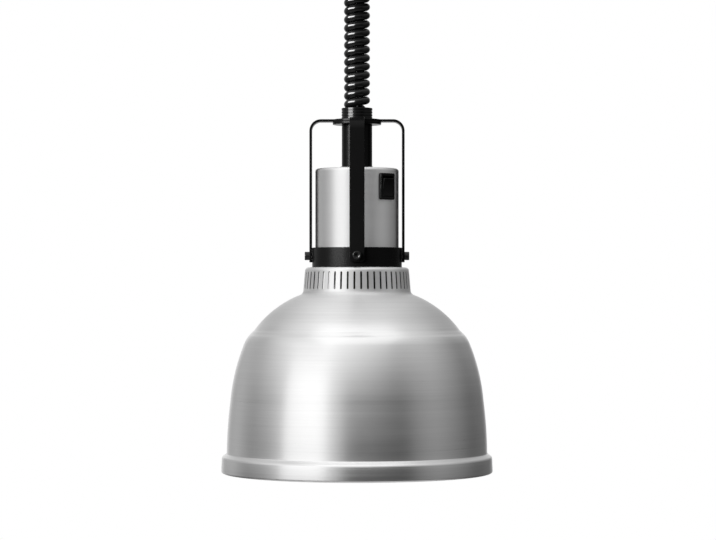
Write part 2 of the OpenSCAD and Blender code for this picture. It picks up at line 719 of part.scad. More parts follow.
// Ceiling unit
module rivet_places() {
    for (x = [frame_low_x + rivet_in, frame_high_x - rivet_in], y = [-1, 1])
        translate([x, reel_r + y * (cheek_w / 2 - rivet_in), 0]) children();
}
module plate_hole(d) {
    translate([0, 0, -plate_t - past]) cylinder(d = d, h = plate_t + 2 * past);
}
module ceiling_plate() {
    color("lightslategray") difference() {
        union() {
            translate([0, 0, -plate_t]) cylinder(r = plate_r, h = plate_t);
            for (a = tab_angles) rotate(a)
                block([tab_face_r - plate_t, -tab_w / 2, -tab_len], [tab_face_r, tab_w / 2, -plate_t / 2]);
        }
        for (i = [0:ceiling_holes - 1]) rotate(45 + i * 360 / ceiling_holes)
            translate([ceiling_pcd / 2, 0, 0]) plate_hole(ceiling_hole_d);
        for (a = tab_angles) rotate(a)
            radial(small_screw_d + 2 * slip_fit, tab_face_r - plate_t - past, tab_face_r + past,
                -tab_screw_z);
        translate([entry_at[0], entry_at[1], 0]) plate_hole(entry_d);
        rivet_places() plate_hole(rivet_d + 2 * slip_fit);
    }
}
canopy_line = concat([[gland_neck_r + slip_fit, -canopy_h]],
    rounding([0, -canopy_h], [canopy_r, -canopy_h], [canopy_r, 0], canopy_edge_r, 8),
    [[canopy_r, 0]]);
module canopy() {
    color("#1b1b1d") difference() {
        rotate_extrude() polygon(sheet(canopy_line, -canopy_t));
        for (a = tab_angles) rotate(a)
            radial(small_screw_d + 2 * slip_fit, canopy_in_r - past, canopy_r + past, -tab_screw_z);
    }
}
module canopy_screws() {
    socket_from = canopy_r + small_head_h / 2;
    color("#2a2a2c") for (a = tab_angles) rotate(a) difference() {
        union() {
            radial(small_head_d, canopy_r, canopy_r + small_head_h, -tab_screw_z);
            radial(small_screw_d, canopy_r - small_screw_len, socket_from, -tab_screw_z);
        }
        radial(small_hex / cos(30), socket_from, canopy_r + small_head_h + past, -tab_screw_z, 6);
    }
}
// The poles lie side by side along Y, each with a screw from below at either end
module pole_places() {
    for (x = [block_low[0] + pole_in, block_low[0] + block_size[0] - pole_in], k = [-1:1])
        translate([x, block_middle[1] + k * pole_pitch, block_low[2]]) children();
}
module terminal_block() {
    color("ivory") difference() {
        block(block_low, [block_low[0] + block_size[0], block_low[1] + block_size[1], -plate_t]);
        pole_places() {
            translate([0, 0, -past]) cylinder(d = pole_screw_d + 2 * slip_fit, h = pole_up + past);
            translate([0, 0, pole_up]) rotate([0, 90, 0])
                cylinder(d = pole_bore_d, h = 2 * pole_in + 2 * past, center = true);
        }
    }
}
module terminal_screws() {
    color("goldenrod") pole_places() difference() {
        translate([0, 0, slip_fit]) cylinder(d = pole_screw_d, h = pole_up - pole_bore_d / 2);
        translate([-pole_screw_d, -pole_slot_w / 2, -past])
            cube([2 * pole_screw_d, pole_slot_w, pole_slot_w + past]);
    }
}
module cord_gland() {
    gland_low_z = -canopy_h - gland_h;
    color("#141415") difference() {
        union() {
            translate([0, 0, gland_low_z]) cylinder(r = nut_r, h = gland_h);
            translate([0, 0, gland_low_z + gland_h / 2])
                cylinder(r = gland_neck_r, h = gland_top_z - gland_low_z - gland_h / 2);
        }
        translate([0, 0, gland_low_z - past]) cylinder(r = recess_r, h = cord_recess + past);
        translate([0, 0, gland_low_z]) cylinder(r = bore_r, h = gland_top_z - gland_low_z + past);
        grip_grooves(nut_r, gland_low_z, -canopy_h);
    }
}
module gland_nut() {
    color("#232325")
        hex_nut(gland_nut_flats, gland_neck_r + slip_fit, gland_nut_low_z, gland_nut_low_z + gland_nut_t);
}
module supply_lead() {
    color("#101011") tube_along(smooth_line(supply_route, 2), cord_d, 12);
}

// Spring reel: its axle lies along X, one winding radius behind the lamp's middle
module on_axle() {
    translate([0, reel_r, -axle_z]) rotate([0, 90, 0]) children();
}
module reel_frame() {
    front_y = reel_r - cheek_w / 2;
    back_y = reel_r + cheek_w / 2;
    color("silver") difference() {
        union() {
            block([frame_low_x, front_y, frame_under_z], [frame_high_x, back_y, -plate_t]);
            for (x = [frame_low_x, cheek_high_x])
                block([x, front_y, -axle_z - cheek_tail], [x + reel_frame_t, back_y, -plate_t]);
        }
        on_axle() translate([0, 0, frame_low_x - past])
            cylinder(d = axle_d + 2 * running_fit, h = frame_high_x - frame_low_x + 2 * past);
        rivet_places() translate([0, 0, frame_under_z - past])
            cylinder(d = rivet_d + 2 * slip_fit, h = reel_frame_t + 2 * past);
    }
}
module reel_rivets() {
    color("gainsboro") rivet_places() {
        translate([0, 0, frame_under_z - rivet_head_t]) cylinder(d = rivet_head_d, h = rivet_head_t);
        translate([0, 0, frame_under_z - rivet_head_t / 2])
            cylinder(d = rivet_d, h = rivet_head_t / 2 - frame_under_z - slip_fit);
    }
}
module reel_axle() {
    low_x = clip_low_x - axle_on;
    high_x = clip_high_x + clip_t + axle_on;
    color("gainsboro") on_axle() difference() {
        translate([0, 0, low_x]) cylinder(d = axle_d, h = high_x - low_x);
        for (x = [clip_low_x, clip_high_x])
            disc(axle_d / 2 + past, axle_d / 2 - clip_groove, x, x + clip_t);
    }
}
// Open rings that snap into the axle's grooves with a hair of play
module axle_clips() {
    play = running_fit / 2;
    color("dimgray") on_axle() for (x = [clip_low_x, clip_high_x]) difference() {
        disc(axle_d / 2 + clip_out, axle_d / 2 - clip_groove + play, x + play, x + clip_t - play);
        block([0, -clip_mouth / 2, x - past], [axle_d, clip_mouth / 2, x + clip_t + past]);
    }
}
module reel_drum() {
    bore = axle_d / 2 + running_fit;
    color("whitesmoke") on_axle() rotate_extrude() polygon([
        [bore, wind_low_x - reel_flange_t], [flange_r, wind_low_x - reel_flange_t], [flange_r, wind_low_x],
        [core_r, wind_low_x], [core_r, wind_high_x], [flange_r, wind_high_x], [flange_r, chamber_high_x],
        [chamber_in_r, chamber_high_x], [chamber_in_r, chamber_low_x], [bore, chamber_low_x]]);
}
module drum_cover() {
    color("silver") on_axle() disc(flange_r, axle_d / 2 + running_fit, chamber_high_x, cover_high_x);
}
module mainspring() {
    inner = (axle_d + strip_t) / 2 + running_fit;
    outer = chamber_in_r - strip_t / 2 - running_fit;
    whole = strip_turns * 360;
    step = 20;
    function spiral(a, off) = (inner + (outer - inner) * a / whole + off) * [cos(a), sin(a)];
    color("steelblue") on_axle() translate([0, 0, chamber_low_x + running_fit])
        linear_extrude(spring_w - 2 * running_fit) polygon(concat(
            [for (a = [0:step:whole]) spiral(a, strip_t / 2)],
            [for (a = [whole:-step:0]) spiral(a, -strip_t / 2)]));
}
module wound_wire() {
    color("gray") on_axle() for (i = [1:wound_turns]) translate([0, 0, i * (wire_d + 2 * slip_fit)])
        rotate_extrude() translate([reel_r, 0]) circle(d = wire_d);
}

// Cord and wire between the ceiling unit and the lamp
module curly_cord() {
    color("#0c0c0d") disc(coil_r, coil_r - cord_d, cord_top_z - coil_len, cord_top_z);
}
module lift_wire() {
    color("gray") translate([0, 0, ferrule_low_h - drop])
        cylinder(d = wire_d, h = drop - ferrule_low_h - axle_z);
}

// Neck of the lamp
module collar_nut() {
    color("#161617") in_lamp() difference() {
        disc(nut_r, thread_r, frame_top_h, nut_top_h);
        translate([0, 0, bush_low_h]) cylinder(r = recess_r, h = collar_nut_h);
        grip_grooves(nut_r, frame_top_h, nut_top_h);
    }
}
module cord_bush() {
    color("#1a1a1a") in_lamp() difference() {
        translate([0, 0, bush_low_h]) cylinder(r = recess_r - slip_fit, h = bush_t);
        wire_and_lead_holes(bush_low_h, bush_t);
    }
}
module bar_leg() {
    low = screw_h - bar_tail;
    half_w = bar_w / 2;
    translate([bar_in_r, 0, 0]) rotate([90, 0, 90]) linear_extrude(bar_t) {
        translate([-half_w, low + bar_end_r]) square([bar_w, frame_top_h - bar_bend_r - low - bar_end_r]);
        translate([bar_end_r - half_w, low]) square([bar_w - 2 * bar_end_r, 2 * bar_end_r]);
        for (y = [-1, 1]) translate([y * (half_w - bar_end_r), low + bar_end_r]) circle(bar_end_r);
    }
}
module bar_arm() {
    bend_at = [bar_out_r - bar_bend_r, frame_top_h - bar_bend_r];
    rotate([90, 0, 0]) linear_extrude(bar_w, center = true) {
        translate([0, frame_low_h]) square([bend_at[0], bar_t]);
        translate(bend_at) intersection() {
            difference() {
                circle(bar_bend_r);
                circle(bar_bend_r - bar_t);
            }
            square(bar_bend_r + past);
        }
    }
}
module grab_frame() {
    color("#171718") in_lamp() difference() {
        union() {
            translate([0, 0, frame_low_h]) cylinder(d = hub_d, h = bar_t);
            round_four() bar_arm();
            round_four() bar_leg();
        }
        translate([0, 0, frame_low_h - past]) cylinder(r = thread_r, h = bar_t + 2 * past);
        round_four() radial(screw_d + 2 * hole_fit, bar_in_r - past, bar_out_r + past, screw_h);
    }
}
module hub_disc() {
    color("#1c1c1e") in_lamp() disc(hub_d / 2, thread_r, tube_top_h, frame_low_h);
}
module neck_tube() {
    foot_r = tube_r + foot_out;
    foot_top_h = housing_top_h + foot_t;
    color("#19191a") in_lamp() rotate_extrude() polygon([
        [bore_r, spigot_low_h], [spigot_r, spigot_low_h], [spigot_r, housing_top_h], [foot_r, housing_top_h],
        [foot_r, foot_top_h], [tube_r, foot_top_h], [tube_r, tube_top_h], [spigot_r, tube_top_h],
        [spigot_r, bush_low_h], [bore_r, bush_low_h]]);
}
module tube_nut() {
    color("darkgray") in_lamp() hex_nut(tube_nut_flats, thread_r,
        housing_top_h - housing_t - tube_nut_t, housing_top_h - housing_t);
}
module anchor_plate() {
    color("lightgray") in_lamp() difference() {
        translate([0, 0, ferrule_top_h]) cylinder(r = spigot_r - slip_fit, h = anchor_t);
        wire_and_lead_holes(ferrule_top_h, anchor_t);
    }
}
module wire_ferrule() {
    color("silver") in_lamp() disc(ferrule_d / 2, wire_d / 2 + running_fit, ferrule_low_h, ferrule_top_h);
}
module lamp_lead() {
    color("#101011") in_lamp() translate([lead_off, 0, lead_low_h])
        cylinder(d = cord_d, h = cord_low_h - lead_low_h);
}

// Housing, band, screws and shade
housing_line = concat([[thread_r, housing_top_h]],
    rounding([0, housing_top_h], [housing_r, housing_top_h], [housing_r, housing_foot_h], housing_edge_r, 7),
    [[housing_r, housing_foot_h]]);
module housing() {
    half_w = case_w / 2 + slip_fit;
    half_h = case_h / 2 + slip_fit;
    color("#c9c9cb") in_lamp() difference() {
        rotate_extrude() polygon(sheet(housing_line, housing_t));
        round_four() radial(screw_d + 2 * hole_fit, housing_in_r - past, housing_r + past, screw_h);
        in_switch() block([housing_in_r / 2, -half_w, -half_h], [housing_r + past, half_w, half_h]);
    }
}
module band() {
    side_r = band_r - band_chamfer;
    color("#1a1a1b") in_lamp() difference() {
        translate([0, 0, shade_h]) rotate_extrude() polygon([
            [band_in_r, 0], [side_r, 0], [band_r, band_chamfer], [band_r, band_h - band_chamfer],
            [side_r, band_h], [band_in_r, band_h]]);
        round_four() radial(screw_d + 2 * hole_fit, band_in_r - past, band_r + past, screw_h);
    }
}
module frame_screws() {
    head_end = bar_out_r + screw_head_h;
    socket_from = bar_out_r + screw_head_h / 2;
    color("#202022") in_lamp() round_four() difference() {
        union() {
            radial(screw_head_d, bar_out_r, head_end, screw_h);
            radial(screw_d, bar_out_r - screw_len, socket_from, screw_h);
        }
        radial(screw_hex / cos(30), socket_from, head_end + past, screw_h, 6);
    }
}
// Two nuts bear on the bridge's tabs and the other two on the shade's collar
module frame_nuts() {
    color("silver") in_lamp() for (i = [0:3]) rotate(i * 90) {
        face = i % 2 == 0 ? nut_on_tab_r : nut_on_collar_r;
        difference() {
            radial(nut_flats / cos(30), face - nut_t, face, screw_h, 6);
            radial(screw_d + 2 * slip_fit, face - nut_t - past, face + past, screw_h);
        }
    }
}
module slot_outline() {
    square([slot_w, slot_h - slot_w], center = true);
    for (y = [-1, 1]) translate([0, y * (slot_h - slot_w) / 2]) circle(d = slot_w);
}
module shade() {
    cut_from = neck_top_r - shade_t - past;
    cut_to = neck_foot_r + past;
    color("#bfbfc2") in_lamp() difference() {
        rotate_extrude() polygon(sheet(shade_line, shade_t));
        for (i = [0:slot_count - 1]) rotate(slot_turn + i * 360 / slot_count)
            translate([cut_from, 0, slot_mid_h]) rotate([90, 0, 90])
                linear_extrude(cut_to - cut_from) slot_outline();
        round_four() radial(screw_d + 2 * hole_fit, collar_in_r - past, collar_r + past, screw_h);
    }
}

// Lamp holder on its bridge
module holder_bridge() {
    half_w = bridge_w / 2;
    color("silver") in_lamp() difference() {
        union() {
            block([-bridge_tab_r, -half_w, bridge_under_h], [bridge_tab_r, half_w, bridge_top_h]);
            for (side = [0, 180]) rotate(side)
                block([nut_on_tab_r, -half_w, screw_h - bar_tail], [bridge_tab_r, half_w, bridge_top_h]);
        }
        for (side = [0, 180]) rotate(side)
            radial(screw_d + 2 * hole_fit, nut_on_tab_r - past, bridge_tab_r + past, screw_h);
        for (x = [-bridge_screw_x, bridge_screw_x, earth_x]) translate([x, 0, bridge_under_h - past])
            cylinder(d = bridge_screw_d + 2 * slip_fit, h = bridge_t + 2 * past);
    }
}
module slotted_screw(x, len) {
    color("gainsboro") in_lamp() translate([x, 0, bridge_top_h]) difference() {
        union() {
            cylinder(d = bridge_head_d, h = bridge_head_h);
            translate([0, 0, -len]) cylinder(d = bridge_screw_d, h = len + bridge_head_h / 2);
        }
        translate([-bridge_head_d, -driver_slot / 2, bridge_head_h - driver_slot])
            cube([2 * bridge_head_d, driver_slot, driver_slot + past]);
    }
}
module bridge_screws() {
    slotted_screw(-bridge_screw_x, bridge_screw_len);
    slotted_screw(bridge_screw_x, bridge_screw_len);
}
module earth_screw() {
    slotted_screw(earth_x, earth_screw_len);
}
module lamp_holder() {
    outer = holder_d / 2;
    upper = outer - holder_step;
    socket_r = shell_r + slip_fit;
    color("floralwhite") in_lamp() difference() {
        rotate_extrude() polygon([
            [0, bridge_under_h], [upper, bridge_under_h], [upper, socket_top_h + holder_step],
            [outer, socket_top_h], [outer, holder_low_h + holder_bevel],
            [outer - holder_bevel, holder_low_h], [socket_r, holder_low_h], [socket_r, socket_top_h],
            [0, socket_top_h]]);
        for (x = [-1, 1]) translate([x * bridge_screw_x, 0, bridge_top_h - bridge_screw_len - past])
            cylinder(d = bridge_screw_d + 2 * slip_fit, h = bridge_screw_len + past);
    }
}
module holder_terminals() {
    color("goldenrod") in_lamp() for (y = [-terminal_y, terminal_y])
        translate([0, y, bridge_under_h + terminal_size / 2]) cube(terminal_size, center = true);
}
module thread_shell() {
    color("goldenrod") in_lamp() disc(shell_r, shell_in_r, holder_low_h + shell_back, socket_top_h);
}
module centre_contact() {
    contact_low_h = cap_top_h + slip_fit;
    color("goldenrod") in_lamp() {
        translate([0, 0, contact_low_h]) cylinder(d = contact_d, h = socket_top_h - contact_low_h);
        translate([0, 0, socket_top_h - contact_plate[1]])
            cylinder(d = contact_plate[0], h = contact_plate[1]);
    }
}
module sleeved_wire(route) {
    in_lamp() tube_along(smooth_line(route, 2), sleeve_d, 8);
}
module neutral_wire() {
    color("royalblue") sleeved_wire(neutral_route);
}
module earth_wire() {
    color("yellowgreen") sleeved_wire(earth_route);
}
module live_wires() {
    color("saddlebrown") {
        sleeved_wire(switch_in_route);
        sleeved_wire(switch_out_route);
    }
}

// Switch, drawn with X out of the housing and its middle at the origin's height
module in_switch() {
    translate([0, 0, switch_h]) rotate(switch_angle) children();
}
module switch_case() {
    color("#121213") in_lamp() in_switch() difference() {
        union() {
            difference() {
                translate([housing_in_r - bezel_t, 0, 0]) rotate([90, 0, 90])
                    linear_extrude(face_x - housing_in_r + bezel_t)
                        rounded_plate(bezel_w, bezel_h, bezel_corner_r);
                cylinder(r = housing_r, h = 2 * bezel_h, center = true);
            }
            block([case_back_r, -case_w / 2, -case_h / 2], [housing_r + bezel_t / 2, case_w / 2, case_h / 2]);
        }
        block([pivot_x - well_depth, -well_w / 2, -well_h / 2], [face_x + past, well_w / 2, well_h / 2]);
        translate([pivot_x, 0, 0]) rotate([90, 0, 0])
            cylinder(d = pivot_d + 2 * running_fit, h = rocker_w + 2 * (pivot_len + slip_fit), center = true);
    }
}
// The rocker's face is a shallow V; its lower half lies level with the bezel at rest
module rocker() {
    reach = (face_x + rocker_proud - pivot_x) / cos(rest_tilt);
    half = rocker_h / 2 - reach * sin(rest_tilt);
    upper = [[reach + half * tan(rest_tilt), half], [pivot_d, half], [-pivot_d, half / 2]];
    color("#0e0e0f") in_lamp() in_switch() translate([pivot_x, 0, 0]) rotate([90, 0, 0]) rotate(-rest_tilt) {
        linear_extrude(rocker_w, center = true)
            polygon(concat([[reach, 0]], upper, [for (i = [2:-1:0]) [upper[i][0], -upper[i][1]]]));
        cylinder(d = pivot_d, h = rocker_w + 2 * pivot_len, center = true);
    }
}
module switch_tabs() {
    color("goldenrod") in_lamp() in_switch() for (z = [-tab_offset, tab_offset])
        translate([case_back_r - tab_terminal_len / 2, 0, z])
            cube([tab_terminal_len, tab_terminal_w, tab_terminal_t], center = true);
}

// Infrared reflector bulb; its form is given in shares of its radius and of the way from face to cap
bulb_form = [[0, 0], [0.1, 0], [0.42, 0.008], [0.75, 0.035], [0.94, 0.095], [1, 0.19], [0.965, 0.29],
    [0.84, 0.42], [0.65, 0.55], [0.46, 0.67], [0.34, 0.78], [0.28, 0.897], [0.232, 0.974]];
glass_len = cap_low_h - bulb_face_h;
neck_in_cap_h = cap_low_h + glass_in_cap;
bulb_line = concat(
    smooth_line(concat([for (p = bulb_form) [p[0] * bulb_r, bulb_face_h + p[1] * glass_len]],
        [[neck_in_cap_r, cap_low_h + cap_edge]]), 2),
    [[neck_in_cap_r, neck_in_cap_h]]);
module bulb_glass() {
    color("mistyrose") in_lamp() rotate_extrude()
        polygon([for (p = sheet(bulb_line, -glass_t)) [max(p[0], 0), p[1]]]);
}
module bulb_cap() {
    inner = neck_in_cap_r + slip_fit;
    root = cap_r - thread_depth;
    thread_low_h = cap_low_h + cap_skirt;
    thread_top_h = thread_low_h + thread_turns * thread_pitch;
    tip_r = tip_d / 2;
    tip_low_h = cap_top_h - tip_t;
    edge_h = cap_low_h + cap_edge + slip_fit;
    color("silver") in_lamp() rotate_extrude() polygon(concat(
        [[inner, edge_h], [root, edge_h]],
        [for (i = [0:thread_turns - 1], k = [[0, 1], [0.3, 0], [0.6, 0], [0.9, 1]])
            [cap_r - k[1] * thread_depth, thread_low_h + (i + k[0]) * thread_pitch]],
        [[root, thread_top_h], [tip_r + tip_t, tip_low_h], [tip_r, tip_low_h], [tip_r, cap_top_h],
            [0, cap_top_h], [0, tip_low_h - tip_t], [tip_r, tip_low_h - tip_t],
            [inner, thread_top_h - cap_t]]));
}
module filament_stem() {
    foot_h = neck_in_cap_h - stem_foot_in;
    color("aliceblue") in_lamp() {
        translate([0, 0, foot_h - stem_foot_t])
            cylinder(r = neck_in_cap_r - glass_t - slip_fit, h = stem_foot_t);
        translate([0, 0, stem_low_h]) cylinder(d = stem_d, h = foot_h - stem_foot_t / 2 - stem_low_h);
    }
}
module filament() {
    lead_from = stem_d / 2 - filament_lead_d;
    lean = atan2(filament_ring_r - lead_from, filament_drop);
    lead_top_h = stem_low_h - filament_lead_d / 2 * sin(lean);
    color("dimgray") in_lamp() {
        for (side = [0, 180]) rotate(side) translate([lead_from, 0, lead_top_h]) rotate([0, 180 - lean, 0])
            cylinder(d = filament_lead_d, h = norm([filament_ring_r - lead_from, filament_drop]));
        translate([0, 0, stem_low_h - filament_drop]) rotate_extrude(angle = 180)
            translate([filament_ring_r, 0]) circle(d = filament_d);
    }
}

ceiling_plate();
canopy();
canopy_screws();
reel_frame();
reel_rivets();
reel_axle();
axle_clips();
terminal_block();
terminal_screws();
cord_gland();
gland_nut();
supply_lead();
reel_drum();
drum_cover();
mainspring();
wound_wire();
curly_cord();
lift_wire();
collar_nut();
cord_bush();
grab_frame();
hub_disc();
neck_tube();
tube_nut();
anchor_plate();
wire_ferrule();
lamp_lead();
housing();
band();
frame_screws();
frame_nuts();
holder_bridge();
bridge_screws();
lamp_holder();
holder_terminals();
thread_shell();
centre_contact();
switch_case();
switch_tabs();
live_wires();
neutral_wire();
earth_wire();
earth_screw();
shade();
rocker();
bulb_glass();
bulb_cap();
filament_stem();
filament();
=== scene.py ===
# Dresses the rise-and-fall food heat lamp: camera, cord, every piece that shows, finishes and light.
# Pieces are worked out in millimetres. Heights start at the lower edge of the shade's rim, and those of
# the ceiling unit at the ceiling.
import json
from math import acos, ceil, cos, pi, radians, sin, sqrt, tan

import bmesh
import bpy
import numpy as np
from mathutils import Matrix, Vector

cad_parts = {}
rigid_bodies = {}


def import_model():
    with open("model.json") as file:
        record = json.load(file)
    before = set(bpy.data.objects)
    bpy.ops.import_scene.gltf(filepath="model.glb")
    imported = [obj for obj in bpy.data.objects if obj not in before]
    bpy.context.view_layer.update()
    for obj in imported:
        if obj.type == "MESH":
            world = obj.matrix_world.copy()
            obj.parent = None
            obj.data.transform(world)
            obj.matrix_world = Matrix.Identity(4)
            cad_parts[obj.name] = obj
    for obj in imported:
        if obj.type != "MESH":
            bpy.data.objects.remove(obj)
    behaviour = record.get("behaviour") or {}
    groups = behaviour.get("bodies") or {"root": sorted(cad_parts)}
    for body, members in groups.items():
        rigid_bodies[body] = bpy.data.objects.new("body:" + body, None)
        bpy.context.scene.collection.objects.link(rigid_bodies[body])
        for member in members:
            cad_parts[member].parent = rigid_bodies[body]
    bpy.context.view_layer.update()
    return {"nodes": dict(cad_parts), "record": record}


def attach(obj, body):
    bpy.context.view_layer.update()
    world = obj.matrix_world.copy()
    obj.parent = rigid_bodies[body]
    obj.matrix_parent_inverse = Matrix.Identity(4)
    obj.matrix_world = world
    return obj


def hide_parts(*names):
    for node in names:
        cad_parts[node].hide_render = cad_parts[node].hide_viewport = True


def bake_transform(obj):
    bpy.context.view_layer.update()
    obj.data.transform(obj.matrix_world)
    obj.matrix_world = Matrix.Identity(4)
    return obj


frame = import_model()
scene = bpy.context.scene
scene.view_settings.view_transform = "Standard"
drop = 558.5  # from the ceiling down to the shade's lower edge
print("frame loaded:", len(frame["nodes"]), "nodes")

# Camera
camera = {"distance": 2481, "height": 185.1, "lens": 122.93, "sensor": 36, "shift": (0.0014, 0.0279),
          "clip": (0.01, 60)}
eye = bpy.data.objects.new("camera", bpy.data.cameras.new("camera"))
scene.collection.objects.link(eye)
eye.location = (0, -camera["distance"] / 1000, (camera["height"] - drop) / 1000)
eye.rotation_euler = (radians(90), 0, 0)
eye.data.lens = camera["lens"]
eye.data.sensor_width = camera["sensor"]
eye.data.shift_x, eye.data.shift_y = camera["shift"]
eye.data.clip_start, eye.data.clip_end = camera["clip"]
scene.camera = eye


# Finishes
class Wire:  # one shader socket, which can stand in a plain sum
    def __init__(self, nodes, socket):
        self.nodes, self.socket = nodes, socket

    def maths(self, operation, other=0.0, swapped=False):
        first, second = (other, self) if swapped else (self, other)
        return self.nodes.node("ShaderNodeMath", {"operation": operation}, {0: first, 1: second})

    def __add__(self, other):
        return self.maths("ADD", other)

    def __radd__(self, other):
        return self.maths("ADD", other, True)

    def __sub__(self, other):
        return self.maths("SUBTRACT", other)

    def __rsub__(self, other):
        return self.maths("SUBTRACT", other, True)

    def __mul__(self, other):
        return self.maths("MULTIPLY", other)

    def __rmul__(self, other):
        return self.maths("MULTIPLY", other, True)

    def __truediv__(self, other):
        return self.maths("DIVIDE", other)

    def __pow__(self, other):
        return self.maths("POWER", other)


class Nodes:  # the nodes of one material, or of the world
    def __init__(self, owner):
        owner.use_nodes = True
        self.tree = owner.node_tree

    def node(self, kind, settings=None, sockets=None, output=0):
        made = self.tree.nodes.new(kind)
        for name, value in (settings or {}).items():
            if name == "stops":
                self.setStops(made.color_ramp.elements, value)
            else:
                setattr(made, name, value)
        for name, value in (sockets or {}).items():
            self.join(value, made.inputs[name])
        return Wire(self, made.outputs[output])

    def join(self, value, socket):
        if isinstance(value, Wire):
            self.tree.links.new(value.socket, socket)
        else:
            socket.default_value = value

    def setStops(self, elements, stops):
        while len(elements) < len(stops):
            elements.new(0.5)
        for element, (position, level) in zip(elements, stops):
            element.position = position
            element.color = grey(level)

    def split(self, vector):
        parted = self.node("ShaderNodeSeparateXYZ", {}, {0: vector})
        return [Wire(self, socket) for socket in parted.socket.node.outputs]

    def place(self):
        return self.node("ShaderNodeTexCoord", output="Object")

    def noise(self, vector, scale, detail=3.0, roughness=0.5):
        return self.node("ShaderNodeTexNoise", {}, {"Vector": vector, "Scale": scale, "Detail": detail,
                                                    "Roughness": roughness})

    def step(self, value, low, high, kind="SMOOTHSTEP"):  # 0 below low, 1 above high, soft between
        return self.node("ShaderNodeMapRange", {"interpolation_type": kind},
                         {"Value": value, "From Min": low, "From Max": high})

    def mix(self, share, first, second):
        return self.node("ShaderNodeMix", {"data_type": "RGBA"}, {0: share, 6: first, 7: second}, 2)


class Finish(Nodes):  # a material around one Principled shader
    def __init__(self, name, fixed):
        self.material = bpy.data.materials.new(name)
        super().__init__(self.material)
        self.shader = self.tree.nodes["Principled BSDF"]
        for socket, value in fixed.items():
            self.shader.inputs[socket].default_value = value

    def vary(self, **sockets):
        for name, value in sockets.items():
            self.join(value, self.shader.inputs[{"colour": "Base Color", "roughness": "Roughness",
                                                 "metallic": "Metallic", "normal": "Normal"}[name]])

    def bump(self, height, depth):  # depth in millimetres
        self.vary(normal=self.node("ShaderNodeBump", {}, {"Distance": depth / 1000, "Height": height}))


def grey(level, tint=0.0):  # tint above 0 is warmer, below 0 cooler
    return (level * (1 + tint), level, level * (1 - tint), 1.0)


spun = {"dark": 0.66, "light": 0.89, "roughness": 0.21, "spread": 0.20, "depth": 0.04,
        "stretch": 0.7, "stretchTurn": 0.25,  # the gloss is drawn out across the rings
        "fine": (1500, 1.6), "coarse": (330, 0.5),  # rings in a metre down the sheet, and change round it
        "dome": (143, 160), "satin": 0.2,  # between these heights the sheet turns to the satin dome
        "neck": (182, 185), "upperLess": 0.06, "upperPaintedLight": 0.65, "upperPaintedLightLevel": 0.98,
        "neckTop": (205, 206), "neckRadius": 70.32, "neckLean": 0.0861,  # the neck's cone, on to height 0
        # painted shade: inside the vent neck the sheet is coloured near black and not metal, standing for the
        # shade in the vents
        "ventDepth": (-0.6, -0.15), "paintedVentShade": 0.03, "paintedVentShadeRough": 0.3,
        "line": (138.4, 140.9, 143.4), "lineDepth": 6.0}  # the soft line that the tool left below the crease


def spunAluminium():
    # rings left by the spinning tool and the brush, satin on the dome, and painted shade inside the vents
    made = Finish("spunAluminium", {"Metallic": 1.0, "Anisotropic": spun["stretch"],
                                    "Anisotropic Rotation": spun["stretchTurn"]})
    x, y, z = made.split(made.place())
    radius = (x * x + y * y) ** 0.5
    along = z - radius  # runs down the sheet, whichever way it slopes

    def rings(perMetre, change):
        way = made.node("ShaderNodeCombineXYZ", {}, {0: x / radius * change, 1: y / radius * change,
                                                     2: along * perMetre})
        return made.noise(way, 1.0, 4.0, 0.6)

    fine, coarse = rings(*spun["fine"]), rings(*spun["coarse"])
    height = z * 1000.0 + drop
    upper = made.step(height, *spun["neck"])  # the neck and the cup are a little less satin, and painted lighter as painted light
    satin = spun["satin"] * made.step(height, *spun["dome"]) - spun["upperLess"] * upper
    neckSide = (radius * 1000.0 - spun["neckRadius"]) + height * spun["neckLean"]  # below 0 inside the cone
    # painted shade in the vents: inside the neck's cone the sheet is coloured dark and not metal, where
    # little light gets in
    paintedVentShade = upper * (1.0 - made.step(height, *spun["neckTop"]))
    paintedVentShade = paintedVentShade * (1.0 - made.step(neckSide, *spun["ventDepth"]))
    brushed = made.mix(0.5 * fine + 0.5 * coarse, grey(spun["dark"]), grey(spun["light"]))
    # painted light: the colour of the neck and the cup is lifted towards white so that they shine brighter
    # than the bowl
    brushed = made.mix(spun["upperPaintedLight"] * upper, brushed, grey(spun["upperPaintedLightLevel"]))
    uneven = spun["roughness"] + spun["spread"] * (0.6 * fine + 0.4 * coarse)
    made.vary(colour=made.mix(paintedVentShade, brushed, grey(spun["paintedVentShade"])), metallic=1.0 - paintedVentShade,
              roughness=uneven + satin + spun["paintedVentShadeRough"] * paintedVentShade)
    low, middle, high = spun["line"]
    line = made.step(height, low, middle) * (1.0 - made.step(height, middle, high))
    made.bump(fine + 0.6 * coarse - spun["lineDepth"] * line, spun["depth"])
    return made


def coated(name, level, roughness, grain, depth, metallic=0.0, shine=0.15, patches=28.0, mottle=0.2,
           fineSpread=0.06, broadSpread=0.05):
    # black paint, oxide, plastic or rubber; grain and patches are counted in a metre
    made = Finish(name, {"Metallic": metallic, "Specular IOR Level": shine})
    fine = made.noise(made.place(), grain, 3.0)
    broad = made.noise(made.place(), patches, 2.0)
    made.vary(colour=made.mix(broad, grey(level * (1 - mottle)), grey(level * (1 + mottle))),
              roughness=roughness - broadSpread + fineSpread * fine + broadSpread * broad)
    made.bump(fine, depth)
    return made


def bareMetal(name, low, high, roughness, grain, patches=45.0, spread=0.12, depth=0.02):
    # rolled or turned metal, a little uneven
    made = Finish(name, {"Metallic": 1.0})
    fine = made.noise(made.place(), grain, 4.0, 0.6)
    broad = made.noise(made.place(), patches, 2.0)
    made.vary(colour=made.mix(0.5 * fine + 0.5 * broad, low, high),
              roughness=roughness + spread * (fine - 0.5))
    made.bump(fine, depth)
    return made


